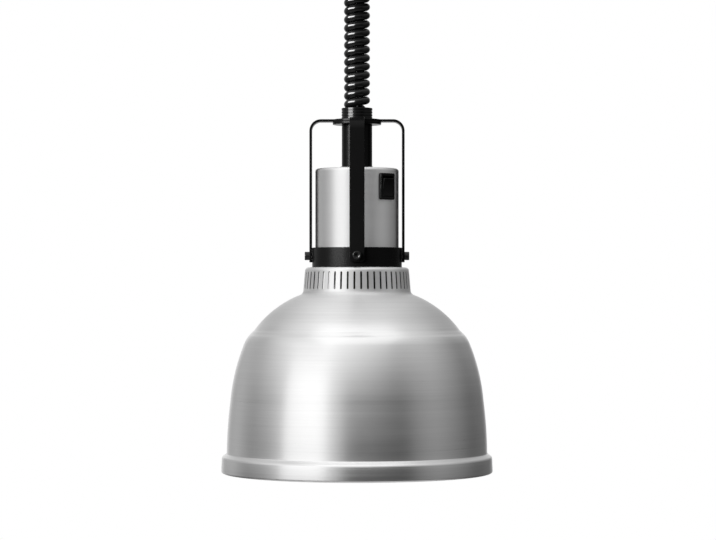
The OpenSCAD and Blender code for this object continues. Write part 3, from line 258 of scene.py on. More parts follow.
def moulded(name, colour, roughness, grain=900.0, depth=0.02, patches=40.0, spread=0.06, darkest=0.93):
    # light or coloured plastic, and glazed porcelain
    made = Finish(name, {"Specular IOR Level": 0.5})
    fine = made.noise(made.place(), grain, 2.0)
    broad = made.noise(made.place(), patches, 3.0)
    darker = tuple(darkest * part for part in colour[:3]) + (1.0,)
    made.vary(colour=made.mix(broad, darker, colour), roughness=roughness + spread * (broad - 0.5))
    made.bump(fine, depth)
    return made


sleeve = {"green": (0.02, 0.22, 0.05, 1), "yellow": (0.72, 0.62, 0.04, 1), "roughness": 0.42, "scale": 260.0,
          "edge": (0.5, 0.54)}


def earthSleeve():  # green with yellow patches
    made = Finish("earthSleeve", {"Specular IOR Level": 0.4, "Roughness": sleeve["roughness"]})
    patch = made.step(made.noise(made.place(), sleeve["scale"], 0.0), *sleeve["edge"])
    made.vary(colour=made.mix(patch, sleeve["green"], sleeve["yellow"]))
    return made


glass = {"ior": 1.45, "frost": (0.10, 0.16), "frostDepth": 0.05, "grain": 420.0,
         "face": ((0.90, 0.02), (0.97, 0.01)), "mirror": (0.74, 0.82), "mirrorRoughness": 0.16,
         "coneFoot": 63, "softEdge": 0.001}  # the mirror's edge is soft over a millimetre each way


def reflectorGlass():  # frosted face, and a mirror coat on the cone behind it
    made = Finish("reflectorGlass", {"Transmission Weight": 1.0, "IOR": glass["ior"]})
    z = made.split(made.place())[2]
    fine = made.noise(made.place(), glass["grain"], 3.0)
    faceTop = (glass["coneFoot"] - drop) / 1000
    smooth, frost = glass["frost"]
    dull, clear = (grey(*tone) for tone in glass["face"])
    made.vary(colour=made.mix(fine, dull, clear), roughness=smooth + frost * fine)
    made.bump(fine, glass["frostDepth"])
    low, high = glass["mirror"]
    silver = made.mix(fine, grey(low), grey(high))
    mirror = made.node("ShaderNodeBsdfPrincipled", {}, {"Metallic": 1.0, "Base Color": silver,
                                                        "Roughness": glass["mirrorRoughness"]})
    coat = made.step(z, faceTop - glass["softEdge"], faceTop + glass["softEdge"])
    blend = made.node("ShaderNodeMixShader", {}, {0: coat, 1: Wire(made, made.shader.outputs[0]), 2: mirror})
    made.join(blend, made.tree.nodes["Material Output"].inputs["Surface"])
    return made


stem = {"ior": 1.5, "clear": 0.9, "grain": 300.0, "greys": (0.85, 0.95), "frost": (0.08, 0.1)}


def stemGlass():
    made = Finish("stemGlass", {"Transmission Weight": stem["clear"], "IOR": stem["ior"]})
    fine = made.noise(made.place(), stem["grain"], 3.0)
    dark, light = stem["greys"]
    smooth, frost = stem["frost"]
    made.vary(colour=made.mix(fine, grey(dark), grey(light)), roughness=smooth + frost * fine)
    return made


finishes = {
    "spun_aluminium": spunAluminium(),
    "black_coat": coated("blackCoat", level=0.002, roughness=0.27, grain=900.0, depth=0.035, shine=0.075),
    "gloss_black": coated("glossBlack", level=0.002, roughness=0.15, grain=260.0, depth=0.012, shine=0.2),
    "black_screw": coated("blackScrew", level=0.03, roughness=0.26, grain=1200.0, depth=0.02, metallic=0.9),
    "zinc_steel": bareMetal("zincSteel", grey(0.50, -0.01), grey(0.66, -0.02), 0.34, 420.0),
    "bright_steel": bareMetal("brightSteel", grey(0.58), grey(0.72), 0.24, 700.0),
    "contact_brass": bareMetal("contactBrass", (0.62, 0.43, 0.17, 1), (0.80, 0.60, 0.28, 1), 0.26, 500.0),
    "black_plastic": coated("blackPlastic", level=0.003, roughness=0.24, grain=1100.0, depth=0.02,
                            shine=0.12),
    "white_plastic": moulded("whitePlastic", grey(0.78), 0.35),
    "ivory_plastic": moulded("ivoryPlastic", (0.74, 0.68, 0.52, 1), 0.38),
    "porcelain": moulded("porcelain", (0.045, 0.04, 0.037, 1), 0.12, 60.0, 0.05),  # painted shade: the holder is coloured near black to stand for the shade inside the neck
    "black_cord": coated("blackCord", level=0.002, roughness=0.13, grain=500.0, depth=0.012, shine=0.3),
    "black_rubber": coated("blackRubber", level=0.012, roughness=0.60, grain=1400.0, depth=0.05),
    "brown_sleeve": moulded("brownSleeve", (0.13, 0.045, 0.02, 1), 0.42),
    "blue_sleeve": moulded("blueSleeve", (0.02, 0.10, 0.45, 1), 0.42),
    "green_sleeve": earthSleeve(),
    "bulb_glass": reflectorGlass(),
    "stem_glass": stemGlass(),
    "tungsten": bareMetal("tungsten", grey(0.16), grey(0.24), 0.5, 900.0),
}
blackNames = {finishes[slot].material.name for slot in finishes if slot.startswith(("black", "gloss"))}
slots = {row["node"]: row["material_slot"] for row in frame["record"]["subparts"]}
for name, piece in frame["nodes"].items():
    piece.data.materials.clear()
    piece.data.materials.append(finishes[slots[name]].material)
print("finishes made:", len(finishes))


# Shapes
def unit(vector):
    return np.asarray(vector, float) / np.linalg.norm(vector)


def leftOf(vector):
    return np.array([-vector[1], vector[0]])


def swung(a, b, steps):  # unit vectors on the short way round from a to b
    whole = acos(max(-1.0, min(1.0, float(a @ b))))
    shares = (i / steps for i in range(steps + 1))
    return [(a * sin((1 - share) * whole) + b * sin(share * whole)) / sin(whole) for share in shares]


def arc(a, b, radius, steps):  # from a to b, bulging to the left of the way
    a, b = np.asarray(a, float), np.asarray(b, float)
    chord = np.linalg.norm(b - a)
    radius = max(radius, 0.51 * chord)  # no more than about a half circle
    centre = (a + b) / 2 - leftOf(unit(b - a)) * sqrt(radius ** 2 - chord ** 2 / 4)
    return [centre + radius * way for way in swung((a - centre) / radius, (b - centre) / radius, steps)]


def rounding(a, b, c, radius, steps):  # corner b made round on the way from a to c
    a, b, c = (np.asarray(p, float) for p in (a, b, c))
    u, v = unit(a - b), unit(c - b)
    half = acos(max(-1.0, min(1.0, float(u @ v)))) / 2
    centre = b + unit(u + v) * radius / sin(half)
    start, end = b + u * radius / tan(half), b + v * radius / tan(half)
    return [centre + radius * way for way in swung((start - centre) / radius, (end - centre) / radius, steps)]


easing = {"mostCut": 0.4, "guard": 0.5, "mostGuard": 0.08, "step": 18}  # shares of a side or of the radius


def outline(*corners):  # closed line of (x, y, radius) corners; a point beside each arc keeps the flats flat
    line = []
    for i, (x, y, radius) in enumerate(corners):
        b = np.array([x, y], float)
        if radius <= 0:
            line.append(b)
            continue
        a, c = (np.array(corners[j % len(corners)][:2], float) for j in (i - 1, i + 1))
        u, v = unit(a - b), unit(c - b)
        turn = pi - acos(max(-1.0, min(1.0, float(u @ v))))
        side = min(np.linalg.norm(a - b), np.linalg.norm(c - b))
        cut = min(radius * tan(turn / 2), easing["mostCut"] * side)
        guard = min(easing["guard"] * radius, easing["mostGuard"] * side)
        steps = max(3, ceil(turn / radians(easing["step"])))
        rounded = rounding(a, b, c, cut / tan(turn / 2), steps)
        line += [b + u * (cut + guard)] + rounded + [b + v * (cut + guard)]
    return line


def lathe(line, steps=160):  # a closed outline of radius and height, turned round the axis
    points, rings, faces = [], [], []
    for r, h in line:
        count = steps if r > 1e-6 else 1
        rings.append(list(range(len(points), len(points) + count)))
        points += [(r * cos(2 * pi * k / steps), r * sin(2 * pi * k / steps), h) for k in range(count)]
    for low, high in zip(rings, rings[1:] + rings[:1]):
        for k in range(steps):
            n = k + 1
            quad = [low[k % len(low)], low[n % len(low)], high[n % len(high)], high[k % len(high)]]
            corners = list(dict.fromkeys(quad))
            if len(corners) > 2:
                faces.append(corners)
    return points, faces


def loft(sections, closedEnds=True):  # joins loops of the same number of points
    count = len(sections[0])
    points = [tuple(p) for section in sections for p in section]
    faces = []
    for low in range(0, (len(sections) - 1) * count, count):
        for k in range(count):
            n = (k + 1) % count
            faces.append((low + k, low + n, low + count + n, low + count + k))
    if closedEnds:
        faces += [tuple(range(count))[::-1], tuple(range(len(points) - count, len(points)))]
    return points, faces


def tube(path, diameter, around, lobes=0, twist=0.0, groove=0.16):
    # sections carried along the path without turning; a wire's lobes twist, with grooves between them
    path = np.asarray(path, float)
    ways = np.gradient(path, axis=0)
    ways /= np.linalg.norm(ways, axis=1)[:, None]
    side = np.cross(ways[0], (0, 1, 0) if abs(ways[0][1]) < 0.9 else (1, 0, 0))
    travelled = np.r_[0, np.cumsum(np.linalg.norm(np.diff(path, axis=0), axis=1))]
    sections = []
    for point, way, done in zip(path, ways, travelled):
        side = unit(side - way * (side @ way))
        other = np.cross(way, side)
        turn = 2 * pi * done / twist if twist else 0.0
        section = []
        for k in range(around):
            angle = 2 * pi * k / around
            sunk = groove * (1 - abs(cos(lobes * angle / 2))) if lobes else 0.0
            r = diameter / 2 * (1 - sunk)
            section.append(point + r * (side * cos(angle + turn) + other * sin(angle + turn)))
        sections.append(section)
    return loft(sections)


def joined(*shapes):
    points, faces = [], []
    for shapePoints, shapeFaces in shapes:
        faces += [tuple(i + len(points) for i in face) for face in shapeFaces]
        points += [tuple(p) for p in shapePoints]
    return points, faces


def turnedTo(shape, angle, lift=0.0):  # turned round the lamp's axis, then lifted
    matrix = Matrix.Translation((0, 0, lift)) @ Matrix.Rotation(radians(angle), 4, "Z")
    return [tuple(matrix @ Vector(p)) for p in shape[0]], shape[1]


def addPiece(name, shape, node, body, lift=-drop, sharp=32, modifiers=(), slot=None):
    # a mesh in metres that stands for a node, with edges sharper than the given angle kept sharp
    points, faces = shape
    mesh = bpy.data.meshes.new(name)
    mesh.from_pydata([(x / 1000, y / 1000, (z + lift) / 1000) for x, y, z in points], [], faces)
    built = bmesh.new()
    built.from_mesh(mesh)
    bmesh.ops.recalc_face_normals(built, faces=built.faces)
    built.to_mesh(mesh)
    built.free()
    mesh.polygons.foreach_set("use_smooth", [True] * len(mesh.polygons))
    mesh.set_sharp_from_angle(angle=radians(sharp))
    piece = bpy.data.objects.new(name, mesh)
    scene.collection.objects.link(piece)
    slot = slot or slots[node]
    mesh.materials.append(finishes[slot].material)
    for kind, settings in modifiers:
        modifier = piece.modifiers.new(kind.lower(), kind)
        for key, value in settings.items():
            setattr(modifier, key, value)
    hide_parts(node)
    if body:
        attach(piece, body)
    return piece


def cutWindow(shape, turn, halfTurn, low, high):
    # takes the faces of a turned wall out between two angles and heights, and closes the cut's edges
    built = bmesh.new()
    corners = [built.verts.new(p) for p in shape[0]]
    for face in shape[1]:
        built.faces.new([corners[i] for i in face])
    middle = Vector((cos(radians(turn)), sin(radians(turn)), 0))
    gone = []
    for face in built.faces:
        x, y, z = face.calc_center_median()
        if low < z < high and middle.angle((x, y, 0), pi) < radians(halfTurn):
            gone.append(face)
    bmesh.ops.delete(built, geom=gone, context="FACES")
    bmesh.ops.bridge_loops(built, edges=[e for e in built.edges if e.is_boundary])
    built.verts.index_update()
    points, faces = [tuple(v.co) for v in built.verts], [tuple(v.index for v in f.verts) for f in built.faces]
    built.free()
    return points, faces


flatFaces = ("WEIGHTED_NORMAL", {"keep_sharp": True, "weight": 80})

# Curly cord
cord = {"diameter": 8.2, "ringRadius": 9.2, "pitch": 8.6, "turns": 13, "perTurn": 28, "low": 367.0,
        "leadOff": 6.2, "leadIn": 5.0, "leadPull": 16.0, "ringPull": 20.0, "leadRings": 19, "around": 20}


def cordPath():
    # a straight lead out of the bush, a bend on to the coil, the turns, and the same again at the gland
    firstTurn = pi / 2
    angles = firstTurn + np.linspace(0, 2 * pi * cord["turns"], cord["turns"] * cord["perTurn"] + 1)
    rise = cord["pitch"] / (2 * pi)
    foot = cord["low"] + cord["diameter"] / 2
    turns = np.c_[cord["ringRadius"] * np.cos(angles), cord["ringRadius"] * np.sin(angles),
                  foot + rise * (angles - firstTurn)]
    start = np.array([cord["leadOff"], 0, cord["low"] - cord["leadIn"]])
    startWay = np.array([0, 0, 1.0]) * cord["leadPull"]
    endWay = unit([-cord["ringRadius"], 0, rise]) * cord["ringPull"]
    s = np.linspace(0, 1, cord["leadRings"])[:, None]
    bend = ((2 * s ** 3 - 3 * s ** 2 + 1) * start + (s ** 3 - 2 * s ** 2 + s) * startWay
            + (-2 * s ** 3 + 3 * s ** 2) * turns[0] + (s ** 3 - s ** 2) * endWay)
    top = bend[::-1] * [-1, 1, -1] + [0, 0, turns[0][2] + turns[-1][2]]
    return np.vstack([bend[:-1], turns, top[1:]])


cordLine = cordPath()
curlyCord = addPiece("curly_cord_coil", tube(cordLine, cord["diameter"], cord["around"]), "curly_cord", None)
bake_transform(curlyCord)

liftWire = {"diameter": 2.0, "low": 287.1, "axle": 28.0, "strands": 6, "twist": 16.0, "ringEvery": 1.4,
            "around": 24}
wireTop = drop - liftWire["axle"]  # the wire leaves the drum at the axle's height
wireHeights = np.arange(liftWire["low"], wireTop + 0.01, liftWire["ringEvery"])
wireHeights[-1] = wireTop
wirePath = np.c_[np.zeros(len(wireHeights)), np.zeros(len(wireHeights)), wireHeights]
wireShape = tube(wirePath, liftWire["diameter"], liftWire["around"], liftWire["strands"], liftWire["twist"])
wire = addPiece("lift_wire_strands", wireShape, "lift_wire", None)
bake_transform(wire)

# Shade
shade = {"rimRadius": 137.5, "rimStep": 4.9, "bandHeight": 16.2, "ledge": 3.6, "flare": 0.6, "rimEdge": 3.6,
         "hem": 2.2, "hemTurn": 200, "bowl": (128.3, 73.0), "shoulder": (114.4, 130.5),
         "crease": (104.8, 143.6), "creaseWidth": 0.6, "neckFoot": (54.7, 181.3), "neckTop": (52.4, 208.0),
         "domeRun": (3.0, -1.1), "collarRadius": 41.0, "collarTop": 226.0, "sheet": 1.2, "neckEdge": 3.5,
         "neckHollow": 5.0, "bend": 1.4, "domeArc": 106, "shoulderArc": 30, "bowlArc": 200, "skirtArc": 480}
vents = {"count": 50, "width": 1.9, "height": 17.8, "middle": 194.8, "turn": 0.8, "columns": 6, "rows": 5}


def shadeLine():  # the outer side of the sheet, and where the vent neck's straight stretch starts in it
    d = shade
    top, foot = np.array([d["collarRadius"], d["collarTop"]]), np.array([d["collarRadius"], d["neckTop"][1]])
    neckTop, neckFoot, crease = (np.array(d[k]) for k in ("neckTop", "neckFoot", "crease"))
    gap = np.array([d["creaseWidth"], -d["creaseWidth"]])
    dome = arc(neckFoot + d["domeRun"], crease - gap, d["domeArc"], 36)
    bowl = arc(d["shoulder"], d["bowl"], d["bowlArc"], 16)
    wallFoot = np.array([d["rimRadius"] - d["flare"] - d["rimStep"], d["bandHeight"] + d["ledge"]])
    skirt = arc(d["bowl"], wallFoot, d["skirtArc"], 12)
    ledgeFoot = np.array([d["rimRadius"] - d["flare"], d["bandHeight"]])
    hemTop = np.array([d["rimRadius"], d["hem"]])
    rolled = np.linspace(0, radians(d["hemTurn"]), 15)
    hem = [hemTop + d["hem"] * np.array([cos(a) - 1, -sin(a)]) for a in rolled]
    upper = [top] + rounding(top, foot, neckTop, d["bend"], 6)
    upper += rounding(foot, neckTop, neckFoot, d["neckEdge"], 8)
    # the hollow at the neck's foot stands in for the dome's first points
    lower = rounding(neckTop, neckFoot, dome[3], d["neckHollow"], 7) + dome[3:]
    lower += [crease] + arc(crease + gap, d["shoulder"], d["shoulderArc"], 8) + bowl[1:]
    lower += skirt[1:-2] + rounding(skirt[-3], wallFoot, ledgeFoot, d["bend"], 5)
    lower += rounding(wallFoot, ledgeFoot, hemTop, d["rimEdge"], 7) + hem
    return np.array(upper + lower), len(upper) - 1


def shadeShape():
    line, gap = shadeLine()
    ways = np.gradient(line, axis=0)
    normals = np.c_[-ways[:, 1], ways[:, 0]]
    normals /= np.linalg.norm(normals, axis=1)[:, None]
    columns, rows = vents["columns"], vents["rows"]
    steps = vents["count"] * columns
    start = radians(vents["turn"] - 180 / vents["count"])
    points, faces = [], []

    def put(r, angle, h):
        points.append((r * cos(angle), r * sin(angle), h))
        return len(points) - 1

    def bridge(one, two):  # the faces between two closed rows of points
        n = len(one)
        faces.extend((one[i], one[(i + 1) % n], two[(i + 1) % n], two[i]) for i in range(n))

    def surface(side):
        # one side of the sheet: whole rings above and below the vents, and a border round each vent
        rings = [[put(r, start + 2 * pi * k / steps, h) for k in range(steps)] for r, h in side]
        for i in range(len(rings) - 1):
            if i != gap:
                bridge(rings[i], rings[i + 1])
        top, foot = side[gap], side[gap + 1]

        def radiusAt(h):
            return top[0] + (foot[0] - top[0]) * (top[1] - h) / (top[1] - foot[1])

        edges = []  # the points between two vents, down the neck
        for j in range(vents["count"]):
            angle = start + 2 * pi * j / vents["count"]
            heights = [top[1] + (foot[1] - top[1]) * i / rows for i in range(1, rows)]
            edges.append([put(radiusAt(h), angle, h) for h in heights])
        holes = []
        half, straight = vents["width"] / 2, (vents["height"] - vents["width"]) / 2
        bow = [pi - pi * i / columns for i in range(columns + 1)]
        shape = ([(half * cos(a), straight + half * sin(a)) for a in bow]
                 + [(half, straight - 2 * straight * i / rows) for i in range(1, rows)]
                 + [(-half * cos(a), -straight - half * sin(a)) for a in bow]
                 + [(-half, -straight + 2 * straight * i / rows) for i in range(1, rows)])
        for j in range(vents["count"]):
            middle = start + 2 * pi * (j + 0.5) / vents["count"]
            hole = []
            for across, up in shape:
                h = vents["middle"] + up
                hole.append(put(radiusAt(h), middle + across / radiusAt(h), h))
            span = [(j * columns + k) % steps for k in range(columns + 1)]
            border = ([rings[gap][k] for k in span] + edges[(j + 1) % vents["count"]]
                      + [rings[gap + 1][k] for k in reversed(span)] + edges[j][::-1])
            bridge(border, hole)
            holes.append(hole)
        return rings, holes

    outer, outerHoles = surface(line)
    inner, innerHoles = surface(line - normals * shade["sheet"])
    bridge(outer[0], inner[0])
    bridge(outer[-1], inner[-1])
    for outerHole, innerHole in zip(outerHoles, innerHoles):
        bridge(outerHole, innerHole)
    return points, faces


addPiece("shade_spun", shadeShape(), "shade", "lamp")
print("shade made")

# Housing and band
housing = {"radius": 42.3, "top": 308.1, "foot": 209.6, "sheet": 1.2, "edge": 4.5, "bore": 13.1,
           "around": 240}
band = {"inner": 42.4, "outer": 45.5, "low": 208.0, "high": 228.0, "edge": 0.5}
window = {"turn": -45, "halfTurn": 12, "low": 276.95, "high": 301.05}  # the switch case goes in here
inside = housing["radius"] - housing["sheet"]
cup = lathe(outline(
    (housing["bore"], housing["top"], 0), (housing["radius"], housing["top"], housing["edge"]),
    (housing["radius"], window["high"], 0), (housing["radius"], window["low"], 0),
    (housing["radius"], housing["foot"], 0.3), (inside, housing["foot"], 0.3),
    (inside, window["low"], 0), (inside, window["high"], 0),
    (inside, housing["top"] - housing["sheet"], housing["edge"] - housing["sheet"]),
    (housing["bore"], housing["top"] - housing["sheet"], 0)), housing["around"])
addPiece("housing_cup", cutWindow(cup, **window), "housing", "lamp")
addPiece("housing_band", lathe(outline(
    (band["inner"], band["low"], 0.1), (band["outer"], band["low"], band["edge"]),
    (band["outer"], band["high"], band["edge"]), (band["inner"], band["high"], 0.1)), housing["around"]),
         "band", "lamp")

# Grab frame
grab = {"barWidth": 15.0, "barThick": 2.6, "inner": 45.6, "bendRadius": 11.6, "top": 357.9, "low": 213.1,
        "endRadius": 3.0, "hub": 24.6, "bore": 13.1, "edge": 0.55, "bendSteps": 12}


def grabFrameShape():
    # the flat cross is cut out whole, its edges are eased, and then its four legs are bent down
    d = grab
    half, thick = d["barWidth"] / 2, d["barThick"]
    bendStart = d["inner"] + thick - d["bendRadius"]
    middleRadius = d["bendRadius"] - thick / 2
    bendTop = d["top"] - d["bendRadius"]
    end = bendStart + middleRadius * pi / 2 + bendTop - d["low"]
    shoulder = np.arcsin(half / d["hub"])
    inner = [(d["bore"] * cos(a), d["bore"] * sin(a)) for a in np.linspace(-pi / 4, pi / 4, 19)]
    arcUp = [(d["hub"] * cos(a), d["hub"] * sin(a)) for a in np.linspace(pi / 4, shoulder, 9)]
    corner = [(end - d["endRadius"] * (1 - sin(a)), half - d["endRadius"] * (1 - cos(a)))
              for a in np.linspace(0, pi / 2, 7)]
    outer = arcUp + corner + [(x, -y) for x, y in reversed(corner)] + [(x, -y) for x, y in reversed(arcUp)]
    built = bmesh.new()
    for quarter in range(4):
        turn = Matrix.Rotation(quarter * pi / 2, 3, "Z")
        built.faces.new([built.verts.new(turn @ Vector((x, y, -thick / 2))) for x, y in inner + outer])
    bmesh.ops.remove_doubles(built, verts=built.verts, dist=0.001)
    raised = bmesh.ops.extrude_face_region(built, geom=built.faces[:])["geom"]
    lifted = [v for v in raised if isinstance(v, bmesh.types.BMVert)]
    bmesh.ops.translate(built, vec=(0, 0, thick), verts=lifted)
    bmesh.ops.recalc_face_normals(built, faces=built.faces)
    # the edges round both flat faces
    rims = [e for e in built.edges if abs(e.verts[0].co.z - e.verts[1].co.z) < 0.01
            and len(e.link_faces) == 2 and e.calc_face_angle() > 0.8]
    bmesh.ops.bevel(built, geom=rims, offset=d["edge"], segments=3, profile=0.7, affect="EDGES")
    cuts = [bendStart + middleRadius * pi / 2 * i / d["bendSteps"] for i in range(d["bendSteps"] + 1)]
    for quarter in range(4):
        way = Matrix.Rotation(quarter * pi / 2, 3, "Z") @ Vector((1, 0, 0))
        for cut in cuts:
            everything = built.verts[:] + built.edges[:] + built.faces[:]
            bmesh.ops.bisect_plane(built, geom=everything, plane_co=way * cut, plane_no=way, dist=0.0001)
    for vertex in built.verts:
        x, y, off = vertex.co
        along = Vector((1 if x > 0 else -1, 0)) if abs(x) > abs(y) else Vector((0, 1 if y > 0 else -1))
        distance = max(abs(x), abs(y))
        if distance <= bendStart:
            vertex.co.z = d["top"] - thick / 2 + off
            continue
        angle = min((distance - bendStart) / middleRadius, pi / 2)
        beyond = distance - bendStart - middleRadius * angle
        out = bendStart + (middleRadius + off) * sin(angle)
        across = Vector((x, y)) - along * distance
        flat = along * out + across
        vertex.co = (flat.x, flat.y, bendTop + (middleRadius + off) * cos(angle) - beyond)
    points = [tuple(v.co) for v in built.verts]
    faces = [tuple(v.index for v in f.verts) for f in built.faces]
    built.free()
    return points, faces


addPiece("grab_frame_bar", grabFrameShape(), "grab_frame", "lamp", sharp=50, modifiers=[flatFaces])
disc = {"radius": 24.6, "bore": 13.1, "low": 352.7, "high": 355.3, "edge": 0.5}
addPiece("hub_disc_turned", lathe(outline(
    (disc["bore"], disc["low"], 0), (disc["radius"], disc["low"], disc["edge"]),
    (disc["radius"], disc["high"], disc["edge"]), (disc["bore"], disc["high"], 0))), "hub_disc", "lamp")

# Neck tube, collar nut and gland
neck = {"bore": 10.4, "thread": 13.0, "tube": 15.4, "foot": 17.0, "low": 297.1, "housingTop": 308.1,
        "footTop": 310.1, "top": 352.7, "bush": 363.0}
tubeLine = outline(
    (neck["bore"], neck["low"], 0.3), (neck["thread"], neck["low"], 0.4),
    (neck["thread"], neck["housingTop"], 0), (neck["foot"], neck["housingTop"], 0.2),
    (neck["foot"], neck["footTop"], 0.7), (neck["tube"], neck["footTop"], 0.5),
    (neck["tube"], neck["top"], 0.2), (neck["thread"], neck["top"], 0),
    (neck["thread"], neck["bush"], 0.3), (neck["bore"], neck["bush"], 0.3))
addPiece("neck_tube_turned", lathe(tubeLine), "neck_tube", "lamp", slot="black_coat")
nut = {"outer": 15.7, "recess": 13.9, "thread": 13.1, "low": 357.9, "seat": 363.0, "high": 369.5, "edge": 0.5,
       "grooves": 3, "grooveWidth": 1.0, "grooveDepth": 0.5, "lip": 0.18, "root": 0.12}


def grooved(low, high):  # corners up the outside of a nut with grip grooves
    corners = [(nut["outer"], low, nut["edge"])]
    for i in range(1, nut["grooves"] + 1):
        middle = low + (high - low) * i / (nut["grooves"] + 1)
        foot, top = middle - nut["grooveWidth"] / 2, middle + nut["grooveWidth"] / 2
        corners += [(nut["outer"], foot, nut["lip"]), (nut["outer"] - nut["grooveDepth"], foot, nut["root"]),
                    (nut["outer"] - nut["grooveDepth"], top, nut["root"]), (nut["outer"], top, nut["lip"])]
    return corners + [(nut["outer"], high, nut["edge"])]


nutLine = outline(
    (nut["thread"], nut["low"], 0), *grooved(nut["low"], nut["high"]), (nut["recess"], nut["high"], 0.4),
    (nut["recess"], nut["seat"], 0), (nut["thread"], nut["seat"], 0))
addPiece("collar_nut_turned", lathe(nutLine), "collar_nut", "lamp", slot="gloss_black")
gland = {"low": -74.0, "canopy": -64.0, "top": -57.3, "neck": 12.0, "bore": 10.4, "recess": -71.5}
glandLine = outline(
    (gland["bore"], gland["recess"], 0), (nut["recess"], gland["recess"], 0),
    (nut["recess"], gland["low"], 0.4), *grooved(gland["low"], gland["canopy"]),
    (gland["neck"], gland["canopy"], 0), (gland["neck"], gland["top"], 0.3),
    (gland["bore"], gland["top"], 0.3))
addPiece("cord_gland_turned", lathe(glandLine), "cord_gland", "ceiling_unit", lift=0)
canopy = {"radius": 56.0, "height": 64.0, "sheet": 1.2, "edge": 9.0, "bore": 12.1, "around": 240}
canopyIn = canopy["radius"] - canopy["sheet"]
addPiece("canopy_cup", lathe(outline(
    (canopy["bore"], -canopy["height"], 0), (canopy["radius"], -canopy["height"], canopy["edge"]),
    (canopy["radius"], 0, 0.3), (canopyIn, 0, 0.3),
    (canopyIn, canopy["sheet"] - canopy["height"], canopy["edge"] - canopy["sheet"]),
    (canopy["bore"], canopy["sheet"] - canopy["height"], 0)), canopy["around"]),
         "canopy", "ceiling_unit", lift=0)
print("housing, frame, neck and canopy made")


# Socket screws
headForm = {"seat": 0.1, "plain": 0.5, "fade": 0.05,
            "ease": 0.11, "sink": 0.5,  # shares of the head's height
            "mouth": ((0, 0.35), (0.05, 0.2)), "mouthDepth": 0.3,  # the socket's mouth: depth, how much wider
            "point": (0.25, 0.6)}


def screwHead(face, radius, height, flats, h, knurl=0.0, around=72):
    # a cap head with an eased rim, a knurled side and a hexagon socket, its axis along X
    d = headForm
    hexRadius = flats / sqrt(3)

    def circle(x, r, wave=0.0):
        radii = [r + wave * (k % 2) for k in range(around)]
        return [(x, radius * cos(2 * pi * k / around), h + radius * sin(2 * pi * k / around))
                for k, radius in enumerate(radii)]

    def hexagon(x, r):
        ring = []
        for k in range(around):
            angle = 2 * pi * k / around
            edge = r * cos(pi / 6) / cos((angle % (pi / 3)) - pi / 6)
            ring.append((x, edge * cos(angle), h + edge * sin(angle)))
        return ring

    top, ease, sink = face + height, d["ease"] * height, d["sink"] * height
    rings = [circle(face, radius - d["seat"]), circle(face + d["seat"], radius),
             circle(face + d["plain"], radius), circle(face + d["plain"] + d["fade"], radius - knurl, knurl),
             circle(top - 2.2 * ease, radius - knurl, knurl),
             circle(top - 2.1 * ease, radius), circle(top - 1.1 * ease, radius)]
    for a in np.linspace(0, pi / 2, 5):
        rings.append(circle(top - ease * (1 - sin(a)), radius - ease * (1 - cos(a))))
    rings.append(circle(top, radius - 1.5 * ease))
    rings += [circle(top - down, hexRadius + wider) for down, wider in d["mouth"]]
    rings += [hexagon(top - d["mouthDepth"], hexRadius), hexagon(top - sink, hexRadius),
              hexagon(top - sink - d["point"][0], d["point"][1] * hexRadius)]
    return loft(rings)


screws = {"face": 48.2, "radius": 4.25, "height": 4.8, "flats": 4.0, "h": 219.6, "knurl": 0.09}
head = screwHead(**screws)
addPiece("frame_screw_heads", joined(*(turnedTo(head, turn) for turn in (0, 90, 180, 270))),
         "frame_screws", "lamp", sharp=28)
small = {"face": 56.0, "radius": 3.8, "height": 2.2, "flats": 2.5, "h": -9.0}
head = screwHead(**small)
addPiece("canopy_screw_heads", joined(*(turnedTo(head, turn) for turn in (30, 150, 270))),
         "canopy_screws", "ceiling_unit", lift=0, sharp=28)

# Switch
switch = {"turn": -45, "h": 289.0, "back": 23.1, "case": (17.2, 23.8), "caseCorner": 0.6,
          "bezel": (19.6, 26.6), "bezelBack": 39.9, "face": 44.0, "corner": 1.4, "edge": 0.7,
          "faceCorner": 0.9, "well": (15.1, 20.7), "wellFloor": 31.3, "wellCorner": 0.4,
          "wellEdge": ((0, 0.7, 0.7), (0.12, 0.2, 0.5), (0.4, 0, 0.4)),  # depth, how much wider, corner
          "rocker": (14.4, 20.0), "rockerBack": 2.4, "rockerEdge": 0.5, "hollow": 0.35, "proud": 0.3,
          "pivot": 37.3, "tilt": 8.0, "pivotRadius": 1.2, "pivotLength": 1.0}


def rectangle(x, width, height, radius, steps=6):
    loop = []
    for quarter, (sy, sz) in enumerate(((1, 1), (-1, 1), (-1, -1), (1, -1))):
        for i in range(steps + 1):
            angle = pi / 2 * (quarter + i / steps)
            loop.append((x, sy * (width / 2 - radius) + radius * cos(angle),
                         sz * (height / 2 - radius) + radius * sin(angle)))
    return loop


def caseShape():
    d = switch
    face, edge = d["face"], d["edge"]
    sections = [rectangle(d["back"], *d["case"], d["caseCorner"]),
                rectangle(d["bezelBack"], *d["case"], d["caseCorner"]),
                rectangle(d["bezelBack"], *d["bezel"], d["corner"]),
                rectangle(face - 1.3 * edge, *d["bezel"], d["corner"])]
    for a in np.linspace(0, pi / 2, 5):
        less = 2 * edge * (1 - cos(a))
        sections.append(rectangle(face - edge * (1 - sin(a)), d["bezel"][0] - less, d["bezel"][1] - less,
                                  d["corner"] - less / 4))
    sections.append(rectangle(face, d["bezel"][0] - 2.3 * edge, d["bezel"][1] - 2.3 * edge, d["faceCorner"]))
    for down, wider, corner in d["wellEdge"]:
        sections.append(rectangle(face - down, d["well"][0] + wider, d["well"][1] + wider, corner))
    sections.append(rectangle(d["wellFloor"], *d["well"], d["wellCorner"]))
    return loft(sections)


